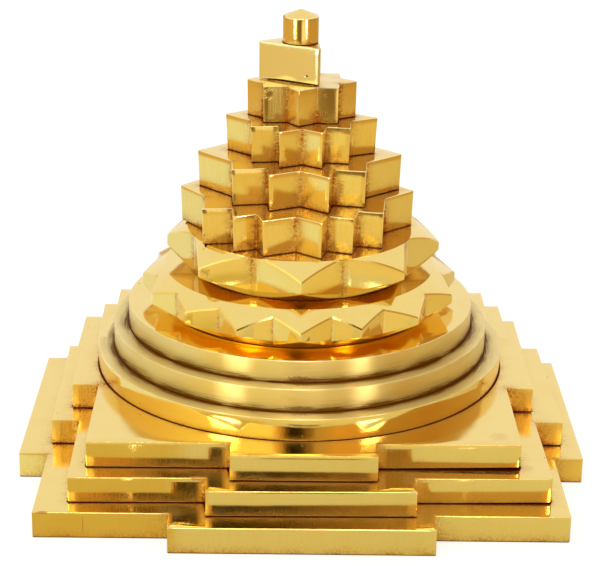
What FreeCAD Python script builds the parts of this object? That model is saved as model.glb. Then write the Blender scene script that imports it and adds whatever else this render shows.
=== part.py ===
import FreeCAD
import Part
import math
import os
import Sketcher

# A stepped three-dimensional yantra in solid brass. From the ground up it has three square plates
# with gates, one turned disc with three rings, a sixteen-petal disc, an eight-petal disc, four star
# tiers, a triangle block and a round cap for the central point. Every layer is drilled, and one steel
# rod runs up the middle: the cap is tapped and closes its top end, a washer and a nut sit in a recess
# under the lowest plate. Lengths are millimetres, angles are degrees, +Z is up, and the origin is the
# middle of the lowest plate's underside. Each hand-cut layer stands a little off the middle and
# slightly turned, so each has its own x, y and turn.

SIZES = [
    ("edge_break", 0.3, "small bevel filed along the outer edges"),
    ("cut_overrun", 2.0, "how far a cutting profile runs past the metal"),
    ("rod_x", -1.45, "the rod's axis, off the lowest plate's middle"),
    ("rod_y", 0.35, "the same, front to back"),
    ("rod_radius", 2.5, "steel rod, metric size 5"),
    ("rod_clearance", 0.25, "gap round the rod in the drilled layers"),
    ("rod_end_bevel", 0.4, "bevel on both ends of the rod"),
    ("rod_tail", 0.5, "rod that shows below the nut"),
    ("rod_engagement", 5.0, "rod held in the cap's tapped hole"),
    ("recess_radius", 7.0, "recess under the lowest plate, room for a socket"),
    ("recess_depth", 4.6, "depth of that recess"),
    ("washer_radius", 5.0, "flat washer's outer radius"),
    ("washer_clearance", 0.15, "gap round the rod in the washer"),
    ("washer_thickness", 1.0, "flat washer"),
    ("nut_width", 8.0, "across the nut's flats"),
    ("nut_thickness", 2.7, "thin nut"),
    ("lower_across", 152.0, "lowest plate, overall width across its gates"),
    ("lower_square", 136.4, "side of its square"),
    ("lower_gate", 67.2, "width of a gate"),
    ("lower_height", 7.1, "plate thickness"),
    ("middle_across", 139.0, "middle plate, overall width across its gates"),
    ("middle_square", 123.8, "side of its square"),
    ("middle_gate", 53.3, "width of a gate"),
    ("middle_height", 7.0, "plate thickness"),
    ("middle_x", 1.35, "where the middle plate stands"),
    ("middle_y", 0.25, "the same, front to back"),
    ("middle_turn", 0.8, "and how far it is turned"),
    ("upper_across", 126.4, "upper plate, overall width across its gates"),
    ("upper_square", 111.8, "side of its square"),
    ("upper_gate", 37.7, "width of a gate"),
    ("upper_height", 7.15, "plate thickness"),
    ("upper_x", 0.25, "where the upper plate stands"),
    ("upper_y", -0.25, "the same, front to back"),
    ("upper_turn", 0.15, "and how far it is turned"),
    ("ring_low_radius", 56.6, "turned disc, lowest ring"),
    ("ring_middle_radius", 52.1, "middle ring"),
    ("ring_high_radius", 47.9, "highest ring"),
    ("ring_low_height", 6.05, "lowest ring"),
    ("ring_middle_height", 6.4, "middle ring"),
    ("ring_high_height", 6.15, "highest ring"),
    ("ring_x", -0.65, "where the turned disc stands"),
    ("ring_y", 2.0, "the same, front to back"),
    ("sixteen_tip", 43.8, "sixteen-petal disc, radius of its tips"),
    ("sixteen_valley", 39.4, "radius between the petals"),
    ("sixteen_flat", 37.1, "radius of the flat top"),
    ("sixteen_seat", 36.6, "radius of the seat below"),
    ("sixteen_height", 11.05, "from the seat to the flat top"),
    ("sixteen_tip_low", 4.5, "underside of a tip above the seat"),
    ("sixteen_tip_high", 7.25, "top of a tip above the seat"),
    ("sixteen_x", -1.05, "where the sixteen-petal disc stands"),
    ("sixteen_y", -0.25, "the same, front to back"),
    ("sixteen_turn", 1.1, "and how far it is turned"),
    ("eight_tip", 37.7, "eight-petal disc, radius of its tips"),
    ("eight_valley", 31.7, "radius between the petals"),
    ("eight_flat", 31.0, "radius of the flat top"),
    ("eight_seat", 30.2, "radius of the seat below"),
    ("eight_height", 11.4, "from the seat to the flat top"),
    ("eight_tip_low", 4.55, "underside of a tip above the seat"),
    ("eight_tip_high", 7.25, "top of a tip above the seat"),
    ("eight_kerf", 0.8, "half of the saw cut left between two petals"),
    ("eight_x", -0.35, "where the eight-petal disc stands"),
    ("eight_y", -0.8, "the same, front to back"),
    ("eight_turn", -0.5, "and how far it is turned"),
    ("fourteen_length", 64.0, "fourteen-point tier, length at the top"),
    ("fourteen_lean", 1.7, "how far its walls lean in towards the foot"),
    ("fourteen_height", 10.0, "tier height"),
    ("fourteen_x", -1.9, "where the tier stands"),
    ("fourteen_y", -0.15, "the same, front to back"),
    ("fourteen_turn", -2.3, "and how far it is turned"),
    ("outer_ten_length", 55.7, "outer ten-point tier, length at the top"),
    ("outer_ten_lean", 2.0, "how far its walls lean in towards the foot"),
    ("outer_ten_height", 10.15, "tier height"),
    ("outer_ten_x", -1.3, "where the tier stands"),
    ("outer_ten_y", -0.05, "the same, front to back"),
    ("outer_ten_turn", -1.7, "and how far it is turned"),
    ("inner_ten_length", 41.6, "inner ten-point tier, length at the top"),
    ("inner_ten_lean", 3.4, "how far its walls lean in towards the foot"),
    ("inner_ten_height", 10.15, "tier height"),
    ("inner_ten_x", -0.85, "where the tier stands"),
    ("inner_ten_y", 0.25, "the same, front to back"),
    ("inner_ten_turn", -3.2, "and how far it is turned"),
    ("star_length", 29.8, "eight-point tier, length at the top"),
    ("star_lean", 0.8, "how far its walls lean in towards the foot"),
    ("star_height", 9.95, "tier height"),
    ("star_x", -0.9, "where the tier stands"),
    ("star_y", 0.2, "the same, front to back"),
    ("star_turn", -2.4, "and how far it is turned"),
    ("block_side", 18.8, "triangle block, length of a side"),
    ("block_height", 10.35, "block height with its foot"),
    ("block_foot_height", 0.5, "the block stands on a low foot"),
    ("block_foot_inset", 1.2, "how far that foot lies inside the faces"),
    ("block_corner", 0.5, "bevel along the block's upright corners"),
    ("block_x", -2.05, "where the block stands"),
    ("block_y", 1.65, "the same, front to back"),
    ("block_turn", 3.2, "and how far it is turned"),
    ("cap_radius", 4.75, "round cap for the central point"),
    ("cap_rim_height", 7.1, "up to the rim of its low cone"),
    ("cap_cone_height", 1.75, "the cone above the rim"),
    ("cap_hole_spare", 0.6, "tapped hole left free above the rod"),
]

FULL_TURN = 360
SAME_PLACE = 1e-5
SQUARE_SIDES = 4
BLOCK_CORNERS = 3
NUT_CORNERS = 6
OUTER_PETAL_COUNT = 16
INNER_PETAL_COUNT = 8

# How far each petal was filed off its place, counted from the front petal towards the right, as
# shares of the pitch between petals: first the tips, then the valley that follows each tip.
SIXTEEN_PETAL_SHARES = [
    [-0.02, -0.09, -0.05, 0.09, 0.14, 0.1, 0.07, 0.05, 0.02, 0.0, -0.02, -0.02, 0.0, -0.01, -0.01, 0.0],
    [0.0, -0.06, 0.02, 0.11, 0.12, 0.09, 0.06, 0.03, 0.01, -0.01, -0.02, -0.01, 0.0, -0.01, 0.03, 0.01],
]
EIGHT_PETAL_SHARES = [
    [0.0, 0.01, -0.05, -0.02, 0.0, 0.0, -0.01, -0.02],
    [-0.02, -0.09, -0.03, -0.01, 0.0, 0.0, -0.02, -0.02],
]

# The front half of each star tier from its left point to its right point, as shares of its half
# length. The back half mirrors it.
FOURTEEN_SHARES = [
    (-1.0, 0.0), (-0.76, -0.31), (-0.765, -0.655), (-0.515, -0.61), (-0.495, -0.84), (-0.305, -0.75),
    (-0.245, -0.93), (0.02, -0.795), (0.24, -0.955), (0.285, -0.76), (0.495, -0.82), (0.53, -0.615),
    (0.74, -0.65), (0.755, -0.25), (1.0, 0.0),
]
OUTER_TEN_SHARES = [
    (-1.0, 0.0), (-0.65, -0.35), (-0.63, -0.64), (-0.3, -0.575), (-0.27, -0.8), (0.025, -0.635),
    (0.305, -0.845), (0.34, -0.575), (0.65, -0.62), (0.655, -0.315), (1.0, 0.0),
]
INNER_TEN_SHARES = [
    (-1.0, 0.0), (-0.64, -0.3), (-0.625, -0.595), (-0.285, -0.54), (-0.25, -0.83), (0.04, -0.65),
    (0.31, -0.81), (0.35, -0.525), (0.655, -0.555), (0.645, -0.2), (1.0, 0.0),
]
STAR_SHARES = [
    (-1.0, 0.0), (-0.7, -0.255), (-0.67, -0.555), (-0.25, -0.515), (-0.03, -0.795), (0.29, -0.535),
    (0.67, -0.54), (0.685, -0.22), (1.0, 0.0),
]

doc = FreeCAD.newDocument("Yantra")
sheet = doc.addObject("Spreadsheet::Sheet", "Sizes")
for row, (alias, value, meaning) in enumerate(SIZES, start=1):
    sheet.set(f"A{row}", alias)
    sheet.set(f"B{row}", str(value))
    sheet.set(f"C{row}", meaning)
    sheet.setAlias(f"B{row}", alias)
doc.recompute()

# Heights of the layers in the order in which they are stacked.
STACK = [
    ("lower", ["lower_height"]),
    ("middle", ["middle_height"]),
    ("upper", ["upper_height"]),
    ("ring", ["ring_low_height", "ring_middle_height", "ring_high_height"]),
    ("sixteen", ["sixteen_height"]),
    ("eight", ["eight_height"]),
    ("fourteen", ["fourteen_height"]),
    ("outer_ten", ["outer_ten_height"]),
    ("inner_ten", ["inner_ten_height"]),
    ("star", ["star_height"]),
    ("block", ["block_height"]),
    ("cap", []),
]


def size(name):
    """Return the expression of one driving dimension."""
    return f"Sizes.{name}"


def level(stem):
    """Return the expression of the height at which a layer's underside lies."""
    below = []
    for layer, heights in STACK:
        if layer == stem:
            break
        below += [size(height) for height in heights]
    return " + ".join(below) if below else "0"


def new_body(label, place_x, place_y, place_z, turn="0"):
    """Make an empty body whose placement follows four expressions."""
    body = doc.addObject("PartDesign::Body", label)
    body.Label = label
    body.setExpression("Placement.Base.x", place_x)
    body.setExpression("Placement.Base.y", place_y)
    body.setExpression("Placement.Base.z", place_z)
    body.setExpression("Placement.Rotation.Angle", turn)
    return body


def layer_body(label, stem, turned=True):
    """Make a layer's empty body at its own place in the stack."""
    turn = size(f"{stem}_turn") if turned else "0"
    return new_body(label, size(f"{stem}_x"), size(f"{stem}_y"), level(stem), turn)


def new_sketch(body, name, role="XY_Plane", height="0"):
    """Attach an empty sketch to one of the body's own planes, at a height above it."""
    sketch = body.newObject("Sketcher::SketchObject", name)
    plane = [feature for feature in body.Origin.OriginFeatures if feature.Role == role][0]
    sketch.AttachmentSupport = (plane, [""])
    sketch.MapMode = "FlatFace"
    sketch.setExpression("AttachmentOffset.Base.z", height)
    return sketch


def fix_point(sketch, geometry, vertex, name, place):
    """Hold one point of a sketch at a pair of expressions."""
    across, along = place
    for axis, kind, expression in ((-2, "DistanceX", across), (-1, "DistanceY", along)):
        if expression == "0":
            sketch.addConstraint(Sketcher.Constraint("PointOnObject", geometry, vertex, axis))
            continue
        value = float(sketch.evalExpression(expression))
        index = sketch.addConstraint(Sketcher.Constraint(kind, -1, 1, geometry, vertex, value))
        label = f"{name}_{'across' if axis == -2 else 'along'}"
        sketch.renameConstraint(index, label)
        sketch.setExpression(f"Constraints.{label}", expression)


def polygon(sketch, corners, name="corner"):
    """Draw a closed outline through corners that are pairs of expressions."""
    points = []
    for across, along in corners:
        x = float(sketch.evalExpression(across))
        y = float(sketch.evalExpression(along))
        points.append(FreeCAD.Vector(x, y, 0))
    first = sketch.GeometryCount
    count = len(points)
    for number, point in enumerate(points):
        sketch.addGeometry(Part.LineSegment(point, points[(number + 1) % count]), False)
    for number in range(count):
        following = first + (number + 1) % count
        sketch.addConstraint(Sketcher.Constraint("Coincident", first + number, 2, following, 1))
    for number, corner in enumerate(corners):
        fix_point(sketch, first + number, 1, f"{name}_{number}", corner)


def circle(sketch, radius, centre=("0", "0"), name="hole"):
    """Draw a circle whose radius and centre are expressions."""
    x = float(sketch.evalExpression(centre[0]))
    y = float(sketch.evalExpression(centre[1]))
    value = float(sketch.evalExpression(radius))
    shape = Part.Circle(FreeCAD.Vector(x, y, 0), FreeCAD.Vector(0, 0, 1), value)
    geometry = sketch.addGeometry(shape, False)
    index = sketch.addConstraint(Sketcher.Constraint("Radius", geometry, value))
    sketch.renameConstraint(index, f"{name}_radius")
    sketch.setExpression(f"Constraints.{name}_radius", radius)
    fix_point(sketch, geometry, 3, name, centre)


def pad(body, sketch, name, length):
    """Raise a sketch by a length."""
    feature = body.newObject("PartDesign::Pad", name)
    feature.Profile = sketch
    feature.setExpression("Length", length)
    body.Tip = feature
    doc.recompute()
    return feature


def pocket(body, sketch, name, depth):
    """Cut a sketch upwards into the body by a depth."""
    before = body.Shape.Volume
    feature = body.newObject("PartDesign::Pocket", name)
    feature.Profile = sketch
    feature.Reversed = True
    feature.setExpression("Length", depth)
    body.Tip = feature
    doc.recompute()
    if body.Shape.Volume >= before:
        raise RuntimeError(f"{name} cut nothing")
    return feature


def turned(body, sketch, name, cutting=False):
    """Turn a profile about the body's upright axis, to add metal or to cut it away."""
    kind = "PartDesign::Groove" if cutting else "PartDesign::Revolution"
    feature = body.newObject(kind, name)
    feature.Profile = sketch
    feature.ReferenceAxis = (sketch, ["V_Axis"])
    feature.Angle = FULL_TURN
    body.Tip = feature
    doc.recompute()
    return feature


def bevel(body, name, width, chosen):
    """Bevel the edges of the body for which chosen(edge) holds."""
    tip = body.Tip
    names = [f"Edge{n}" for n, edge in enumerate(tip.Shape.Edges, start=1) if chosen(edge)]
    feature = body.newObject("PartDesign::Chamfer", name)
    feature.Base = (tip, names)
    feature.setExpression("Size", width)
    body.Tip = feature
    doc.recompute()
    return feature


def flat_at(height):
    """Choose the edges that lie level at a height."""

    def chosen(edge):
        box = edge.BoundBox
        return box.ZLength < SAME_PLACE and abs(box.ZMin - height) < SAME_PLACE

    return chosen


def rod_place(stem, turned_layer=True):
    """Return the rod axis in a layer's own frame, undoing its shift and its turn."""
    across = f"({size('rod_x')} - {size(stem + '_x')})"
    along = f"({size('rod_y')} - {size(stem + '_y')})"
    if not turned_layer:
        return across, along
    turn = size(f"{stem}_turn")
    return (
        f"{across} * cos({turn}) + {along} * sin({turn})",
        f"{along} * cos({turn}) - {across} * sin({turn})",
    )


def drill(body, place, height):
    """Drill the clearance hole for the rod right through a layer."""
    sketch = new_sketch(body, "RodHole")
    circle(sketch, f"{size('rod_radius')} + {size('rod_clearance')}", place)
    pocket(body, sketch, "RodBore", height)


def square_plate(label, stem, moved=True):
    """Build a square plate with a gate in the middle of each side."""
    reach, half, gate = (f"{size(f'{stem}_{part}')} / 2" for part in ("across", "square", "gate"))
    height = size(f"{stem}_height")
    body = layer_body(label, stem) if moved else new_body(label, "0", "0", level(stem))
    quarter = [(reach, f"-{gate}"), (reach, gate), (half, gate), (half, half), (gate, half)]
    corners = []
    for side in range(SQUARE_SIDES):
        for across, along in quarter:
            for _ in range(side):
                across, along = opposite(along), across
            corners.append((across, along))
    outline = new_sketch(body, "Outline")
    polygon(outline, corners)
    pad(body, outline, "Plate", height)
    top = float(sheet.evalExpression(height))
    bevel(body, "TopEdges", size("edge_break"), flat_at(top))
    place = rod_place(stem) if moved else (size("rod_x"), size("rod_y"))
    drill(body, place, height)
    return body


def opposite(expression):
    """Return the expression with its sign changed."""
    return expression[1:] if expression.startswith("-") else f"-{expression}"


def ring_disc(label):
    """Build the turned disc with its three rings."""
    body = layer_body(label, "ring", turned=False)
    low, middle, high = (size(f"ring_{ring}_radius") for ring in ("low", "middle", "high"))
    first = size("ring_low_height")
    second = f"{first} + {size('ring_middle_height')}"
    third = f"{second} + {size('ring_high_height')}"
    profile = new_sketch(body, "Rings", "XZ_Plane")
    corners = [("0", "0"), (low, "0"), (low, first), (middle, first), (middle, second)]
    corners += [(high, second), (high, third), ("0", third)]
    polygon(profile, corners)
    turned(body, profile, "TurnedDisc")
    tops = [float(sheet.evalExpression(top)) for top in (first, second, third)]
    radii = [float(sheet.evalExpression(radius)) for radius in (low, middle, high)]

    def step_edge(edge):
        if not isinstance(edge.Curve, Part.Circle):
            return False
        return any(
            abs(edge.BoundBox.ZMax - top) < SAME_PLACE and abs(edge.Curve.Radius - radius) < SAME_PLACE
            for top, radius in zip(tops, radii)
        )

    bevel(body, "StepEdges", size("edge_break"), step_edge)
    drill(body, rod_place("ring", False), third)
    return body


def polar(radius, angle, across="0"):
    """Return a corner at a radius and an angle from the front, moved sideways by a length."""
    sine, cosine = math.sin(math.radians(angle)), math.cos(math.radians(angle))
    return (
        f"{radius} * {sine:.6f} + {across} * {cosine:.6f}",
        f"{radius} * {-cosine:.6f} + {across} * {sine:.6f}",
    )


def petal_disc(label, stem, count, petals, kerf=None):
    """Build a petal disc: a star of upright walls between a cone above and a cone below."""
    tip, valley, flat, seat, height, low, high = (
        size(f"{stem}_{part}") for part in ("tip", "valley", "flat", "seat", "height", "tip_low", "tip_high")
    )
    overrun = size("cut_overrun")
    pitch = FULL_TURN / count
    tip_shares, valley_shares = petals
    body = layer_body(label, stem)
    corners = []
    for petal in range(count):
        corners.append(polar(tip, (petal + tip_shares[petal]) * pitch))
        middle = (petal + 0.5 + valley_shares[petal]) * pitch
        sides = [f"-{kerf}", kerf] if kerf else ["0"]
        corners += [polar(valley, middle, side) for side in sides]
    outline = new_sketch(body, "Petals")
    polygon(outline, corners)
    pad(body, outline, "Star", height)

    outer = f"({tip} + {overrun})"
    fall = f"({height} - {high}) / ({tip} - {flat})"
    rise = f"{low} / ({tip} - {seat})"
    above = new_sketch(body, "SlopeAbove", "XZ_Plane")
    polygon(above, [
        (flat, height),
        (outer, f"{height} - {fall} * ({outer} - {flat})"),
        (outer, f"{height} + {overrun}"),
        (flat, f"{height} + {overrun}"),
    ])
    below = new_sketch(body, "SlopeBelow", "XZ_Plane")
    polygon(below, [
        (seat, "0"),
        (outer, f"{rise} * ({outer} - {seat})"),
        (outer, f"-{overrun}"),
        (seat, f"-{overrun}"),
    ])
    for sketch, name in ((above, "TopSlope"), (below, "UnderSlope")):
        before = body.Shape.Volume
        turned(body, sketch, name, cutting=True)
        if body.Shape.Volume >= before:
            raise RuntimeError(f"{label} {name} cut nothing")
    drill(body, rod_place(stem), height)
    return body


def star_tier(label, stem, shares):
    """Build a star tier whose walls lean in a little towards its foot."""
    height = size(f"{stem}_height")
    body = layer_body(label, stem)
    back = [(x, -y) for x, y in reversed(shares[1:-1])]
    outline = new_sketch(body, "Star")
    half = f"{size(f'{stem}_length')} / 2"
    polygon(outline, [scaled(half, x, y) for x, y in shares + back])
    block = pad(body, outline, "Tier", height)
    walls, upper_face = [], ""
    for number, face in enumerate(block.Shape.Faces, start=1):
        facing = face.normalAt(0, 0).z
        if abs(facing) < 0.5:
            walls.append(f"Face{number}")
        elif facing > 0:
            upper_face = f"Face{number}"
    lean = body.newObject("PartDesign::Draft", "Lean")
    lean.Base = (block, walls)
    lean.NeutralPlane = (block, [upper_face])
    lean.Reversed = True
    lean.setExpression("Angle", size(f"{stem}_lean"))
    body.Tip = lean
    doc.recompute()
    if body.Shape.Volume >= block.Shape.Volume:
        raise RuntimeError(f"{label} does not lean in")
    top = float(sheet.evalExpression(height))
    bevel(body, "TopEdges", size("edge_break"), flat_at(top))
    drill(body, rod_place(stem), height)
    return body


def scaled(half, x_share, y_share):
    """Return a corner given as two shares of a half length."""
    return (
        f"{half} * {x_share}" if x_share else "0",
        f"{half} * {y_share}" if y_share else "0",
    )


def triangle(radius):
    """Return the corners of an equilateral triangle with one corner to the left."""
    corners = []
    for number in range(BLOCK_CORNERS):
        angle = math.radians(FULL_TURN / 2 + FULL_TURN / BLOCK_CORNERS * number)
        corners.append((f"{radius} * {math.cos(angle):.6f}", f"{radius} * {math.sin(angle):.6f}"))
    return corners


def triangle_block(label):
    """Build the triangle block on its low foot."""
    body = layer_body(label, "block")
    reach = f"{size('block_side')} / {math.sqrt(BLOCK_CORNERS):.6f}"
    foot_height = size("block_foot_height")
    foot = new_sketch(body, "Foot")
    polygon(foot, triangle(f"({reach} - 2 * {size('block_foot_inset')})"))
    pad(body, foot, "LowFoot", foot_height)
    outline = new_sketch(body, "Outline", height=foot_height)
    polygon(outline, triangle(f"({reach})"))
    pad(body, outline, "Prism", f"{size('block_height')} - {foot_height}")
    top = float(sheet.evalExpression(size("block_height")))

    def upright(edge):
        box = edge.BoundBox
        return box.XLength + box.YLength < SAME_PLACE and abs(box.ZMax - top) < SAME_PLACE

    bevel(body, "Corners", size("block_corner"), upright)
    bevel(body, "TopEdges", size("edge_break"), flat_at(top))
    drill(body, rod_place("block"), size("block_height"))
    return body


def hole_depth():
    """Return the expression of the depth of the cap's tapped hole."""
    return f"({size('rod_engagement')} + {size('cap_hole_spare')})"


def bindu_cap(label):
    """Build the round cap with its low cone and its blind tapped hole."""
    body = new_body(label, size("rod_x"), size("rod_y"), level("cap"))
    radius, bore, rim = size("cap_radius"), size("rod_radius"), size("cap_rim_height")
    profile = new_sketch(body, "Section", "XZ_Plane")
    polygon(profile, [
        (bore, "0"),
        (radius, "0"),
        (radius, rim),
        ("0", f"{rim} + {size('cap_cone_height')}"),
        ("0", hole_depth()),
        (bore, hole_depth()),
    ])
    turned(body, profile, "Cap")
    return body


def tie_rod(label):
    """Build the steel rod from below the nut up into the cap."""
    below = [size("washer_thickness"), size("nut_thickness"), size("rod_tail")]
    foot = " - ".join([size("recess_depth"), *below])
    length = f"({level('cap')} + {size('rod_engagement')} - ({foot}))"
    radius, end = size("rod_radius"), size("rod_end_bevel")
    body = new_body(label, size("rod_x"), size("rod_y"), foot)
    profile = new_sketch(body, "Section", "XZ_Plane")
    polygon(profile, [
        ("0", "0"),
        (f"{radius} - {end}", "0"),
        (radius, end),
        (radius, f"{length} - {end}"),
        (f"{radius} - {end}", length),
        ("0", length),
    ])
    turned(body, profile, "Rod")
    return body


def flat_washer(label):
    """Build the washer against the top of the recess."""
    thickness = size("washer_thickness")
    body = new_body(label, size("rod_x"), size("rod_y"), f"{size('recess_depth')} - {thickness}")
    ring = new_sketch(body, "Ring")
    circle(ring, size("washer_radius"), name="rim")
    circle(ring, f"{size('rod_radius')} + {size('washer_clearance')}", name="hole")
    pad(body, ring, "Washer", thickness)
    return body


def thin_nut(label):
    """Build the thin hexagon nut below the washer."""
    thickness = size("nut_thickness")
    place_z = f"{size('recess_depth')} - {size('washer_thickness')} - {thickness}"
    body = new_body(label, size("rod_x"), size("rod_y"), place_z)
    radius = f"{size('nut_width')} / {2 * math.cos(math.pi / NUT_CORNERS):.6f}"
    corners = []
    for number in range(NUT_CORNERS):
        angle = 2 * math.pi * (number + 0.5) / NUT_CORNERS
        corners.append((f"{radius} * {math.cos(angle):.6f}", f"{radius} * {math.sin(angle):.6f}"))
    outline = new_sketch(body, "Hexagon")
    polygon(outline, corners)
    circle(outline, size("rod_radius"), name="thread")
    pad(body, outline, "Nut", thickness)
    return body


lowest = square_plate("lower_square_plate", "lower", moved=False)
recess = new_sketch(lowest, "Recess")
circle(recess, size("recess_radius"), (size("rod_x"), size("rod_y")))
pocket(lowest, recess, "NutRecess", size("recess_depth"))

nodes = [
    lowest,
    square_plate("middle_square_plate", "middle"),
    square_plate("upper_square_plate", "upper"),
    ring_disc("three_ring_disc"),
    petal_disc("sixteen_petal_disc", "sixteen", OUTER_PETAL_COUNT, SIXTEEN_PETAL_SHARES),
    petal_disc("eight_petal_disc", "eight", INNER_PETAL_COUNT, EIGHT_PETAL_SHARES, size("eight_kerf")),
    star_tier("fourteen_point_tier", "fourteen", FOURTEEN_SHARES),
    star_tier("outer_ten_point_tier", "outer_ten", OUTER_TEN_SHARES),
    star_tier("inner_ten_point_tier", "inner_ten", INNER_TEN_SHARES),
    star_tier("eight_point_tier", "star", STAR_SHARES),
    triangle_block("triangle_block"),
    bindu_cap("bindu_cap"),
    tie_rod("tie_rod"),
    flat_washer("base_washer"),
    thin_nut("base_nut"),
]

doc.recompute()
for item in doc.Objects:
    faults = [state for state in item.State if state in ("Invalid", "Error")]
    if faults:
        raise RuntimeError(f"{item.Label} failed: {faults}")
for node in nodes:
    if node.Shape.isNull() or not node.Shape.isValid() or len(node.Shape.Solids) != 1:
        raise RuntimeError(f"{node.Label} is not one valid solid")

os.makedirs("parts", exist_ok=True)
for node in nodes:
    node.Shape.exportStep(f"parts/{node.Label}.step")
    print(f"{node.Label}: {node.Shape.Volume:.1f} cubic millimetres")
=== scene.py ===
import logging
import math
from dataclasses import dataclass, field, replace
from enum import Enum

import bmesh
import bpy
import numpy as np
from mathutils import Matrix, Vector


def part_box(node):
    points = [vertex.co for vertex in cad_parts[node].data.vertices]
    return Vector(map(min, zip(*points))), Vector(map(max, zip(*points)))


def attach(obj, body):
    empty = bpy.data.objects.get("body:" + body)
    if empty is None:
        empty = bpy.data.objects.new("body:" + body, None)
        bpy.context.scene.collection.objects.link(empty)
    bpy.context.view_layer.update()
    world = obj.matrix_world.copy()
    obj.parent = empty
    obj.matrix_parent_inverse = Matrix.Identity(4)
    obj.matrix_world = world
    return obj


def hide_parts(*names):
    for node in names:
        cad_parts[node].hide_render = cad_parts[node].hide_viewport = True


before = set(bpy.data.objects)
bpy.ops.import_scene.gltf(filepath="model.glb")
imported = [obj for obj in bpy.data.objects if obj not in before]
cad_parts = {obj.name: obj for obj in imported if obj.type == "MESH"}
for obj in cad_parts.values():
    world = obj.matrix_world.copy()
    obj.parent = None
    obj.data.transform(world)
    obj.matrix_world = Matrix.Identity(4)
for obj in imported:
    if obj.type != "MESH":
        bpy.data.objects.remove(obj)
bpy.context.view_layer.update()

# A stepped yantra in hand-finished brass: three square plates with gates, a turned disc with three
# rings, two petal discs, four star tiers, a triangle block and a round cap, clamped by a steel rod.
# Plan sizes are millimetres in the classes below, heights come from the frame, and every mesh is
# written in metres. +Z is up and the front looks along -Y.

MM = 0.001
FULL_TURN = 2 * math.pi
PHOTO_WIDTH = 600
SHARP_ANGLE = math.radians(20)
# Light bounces often between the polished steps of the stack.
MAX_BOUNCES = 24
GLOSSY_BOUNCES = 16
# Distances that are stored where a point has no seam or no mark near it, in millimetres.
NO_SEAM = 9.0
NO_MARK = 99.0
# How deep tool marks go, in millimetres.
MARK_DEPTH = 0.02
# Points closer than this, in millimetres, become one where a surface closes.
MERGE_DISTANCE = 0.001
# The spacing of the points that mark the worn edges, which also get a painted highlight, in millimetres.
WORN_HIGHLIGHT_SPACING = 0.4
SOCKET_TYPES = {float: "NodeSocketFloat", int: "NodeSocketInt", tuple: "NodeSocketVector"}

Socket = bpy.types.NodeSocket
Mesh = bpy.types.Mesh
Triple = tuple[float, float, float]
log = logging.getLogger("yantra")

# How far each petal was filed off its place, counted from the front petal towards the right, as
# shares of the pitch between petals: first the tips, then the valley that follows each tip.
SIXTEEN_PETAL_SHARES = [
    [-0.03, -0.09, -0.05, 0.09, 0.14, 0.1, 0.07, 0.05, 0.02, 0.0, -0.02, -0.02, 0.0, -0.01, -0.01, 0.0],
    [0.0, -0.06, 0.02, 0.11, 0.12, 0.09, 0.06, 0.03, 0.01, -0.01, -0.02, -0.01, 0.0, -0.01, 0.03, 0.01],
]
EIGHT_PETAL_SHARES = [
    [0.0, 0.01, -0.05, -0.02, 0.0, 0.0, -0.01, -0.02],
    [-0.02, -0.09, -0.03, -0.01, 0.0, 0.0, -0.02, -0.02],
]
# How much longer or shorter each petal is than the others, as shares of the tip's radius.
SIXTEEN_LENGTH_SHARES = [
    0.015, 0.006, 0.015, 0.006, 0.0, 0.004, -0.006, 0.0,
    0.004, -0.004, 0.002, -0.006, -0.007, -0.008, -0.01, 0.02,
]
EIGHT_LENGTH_SHARES = [-0.005, 0.009, 0.002, 0.0, -0.004, 0.003, -0.01, 0.007]

# The front half of each star tier from its left point to its right point, as shares of its half
# length. The back half mirrors it.
FOURTEEN_SHARES = [
    (-1.0, 0.0), (-0.76, -0.31), (-0.765, -0.655), (-0.515, -0.61), (-0.495, -0.84), (-0.305, -0.75),
    (-0.245, -0.93), (0.02, -0.795), (0.24, -0.955), (0.285, -0.76), (0.495, -0.82), (0.53, -0.615),
    (0.74, -0.65), (0.755, -0.25), (1.0, 0.0),
]
OUTER_TEN_SHARES = [
    (-1.0, 0.0), (-0.65, -0.35), (-0.63, -0.64), (-0.3, -0.575), (-0.27, -0.8), (0.025, -0.635),
    (0.305, -0.845), (0.34, -0.575), (0.65, -0.62), (0.655, -0.315), (1.0, 0.0),
]
INNER_TEN_SHARES = [
    (-1.0, 0.0), (-0.64, -0.3), (-0.625, -0.595), (-0.285, -0.54), (-0.25, -0.83), (0.04, -0.65),
    (0.31, -0.81), (0.35, -0.525), (0.655, -0.555), (0.645, -0.2), (1.0, 0.0),
]
STAR_SHARES = [
    (-1.0, 0.0), (-0.7, -0.255), (-0.67, -0.555), (-0.25, -0.515), (-0.03, -0.795), (0.29, -0.535),
    (0.67, -0.54), (0.685, -0.22), (1.0, 0.0),
]


class Slot(Enum):
    """The record's material slots."""

    BRASS = "polished_brass"
    STEEL = "plated_steel"


class Marks(Enum):
    """What the last tool left on a brass surface."""

    BUFFED = "buffed"
    FILED = "filed"
    TURNED = "turned"


@dataclass(frozen=True)
class Place:
    """Where a layer stands in plan, in millimetres, and how far it is turned, in degrees."""

    x: float = 0.0
    y: float = 0.0
    turn: float = 0.0

    def to_world(self, points: np.ndarray) -> np.ndarray:
        """Move points from the layer's own plan to the plan of the whole object."""
        angle = math.radians(self.turn)
        cosine, sine = math.cos(angle), math.sin(angle)
        rotation = np.array([[cosine, sine], [-sine, cosine]])
        return points @ rotation + self.centre

    @property
    def centre(self) -> np.ndarray:
        """The layer's middle in the plan of the whole object."""
        return np.array([self.x, self.y])


def circle_plan(radius: float, count: int) -> np.ndarray:
    """Return a circle of points that starts at the front and runs to the right."""
    angles = np.arange(count) * FULL_TURN / count
    return radius * np.stack([np.sin(angles), -np.cos(angles)], axis=1)


def unit(vectors: np.ndarray) -> np.ndarray:
    """Return plan vectors scaled to length one."""
    return vectors / np.maximum(np.linalg.norm(vectors, axis=-1, keepdims=True), 1e-12)


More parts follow.
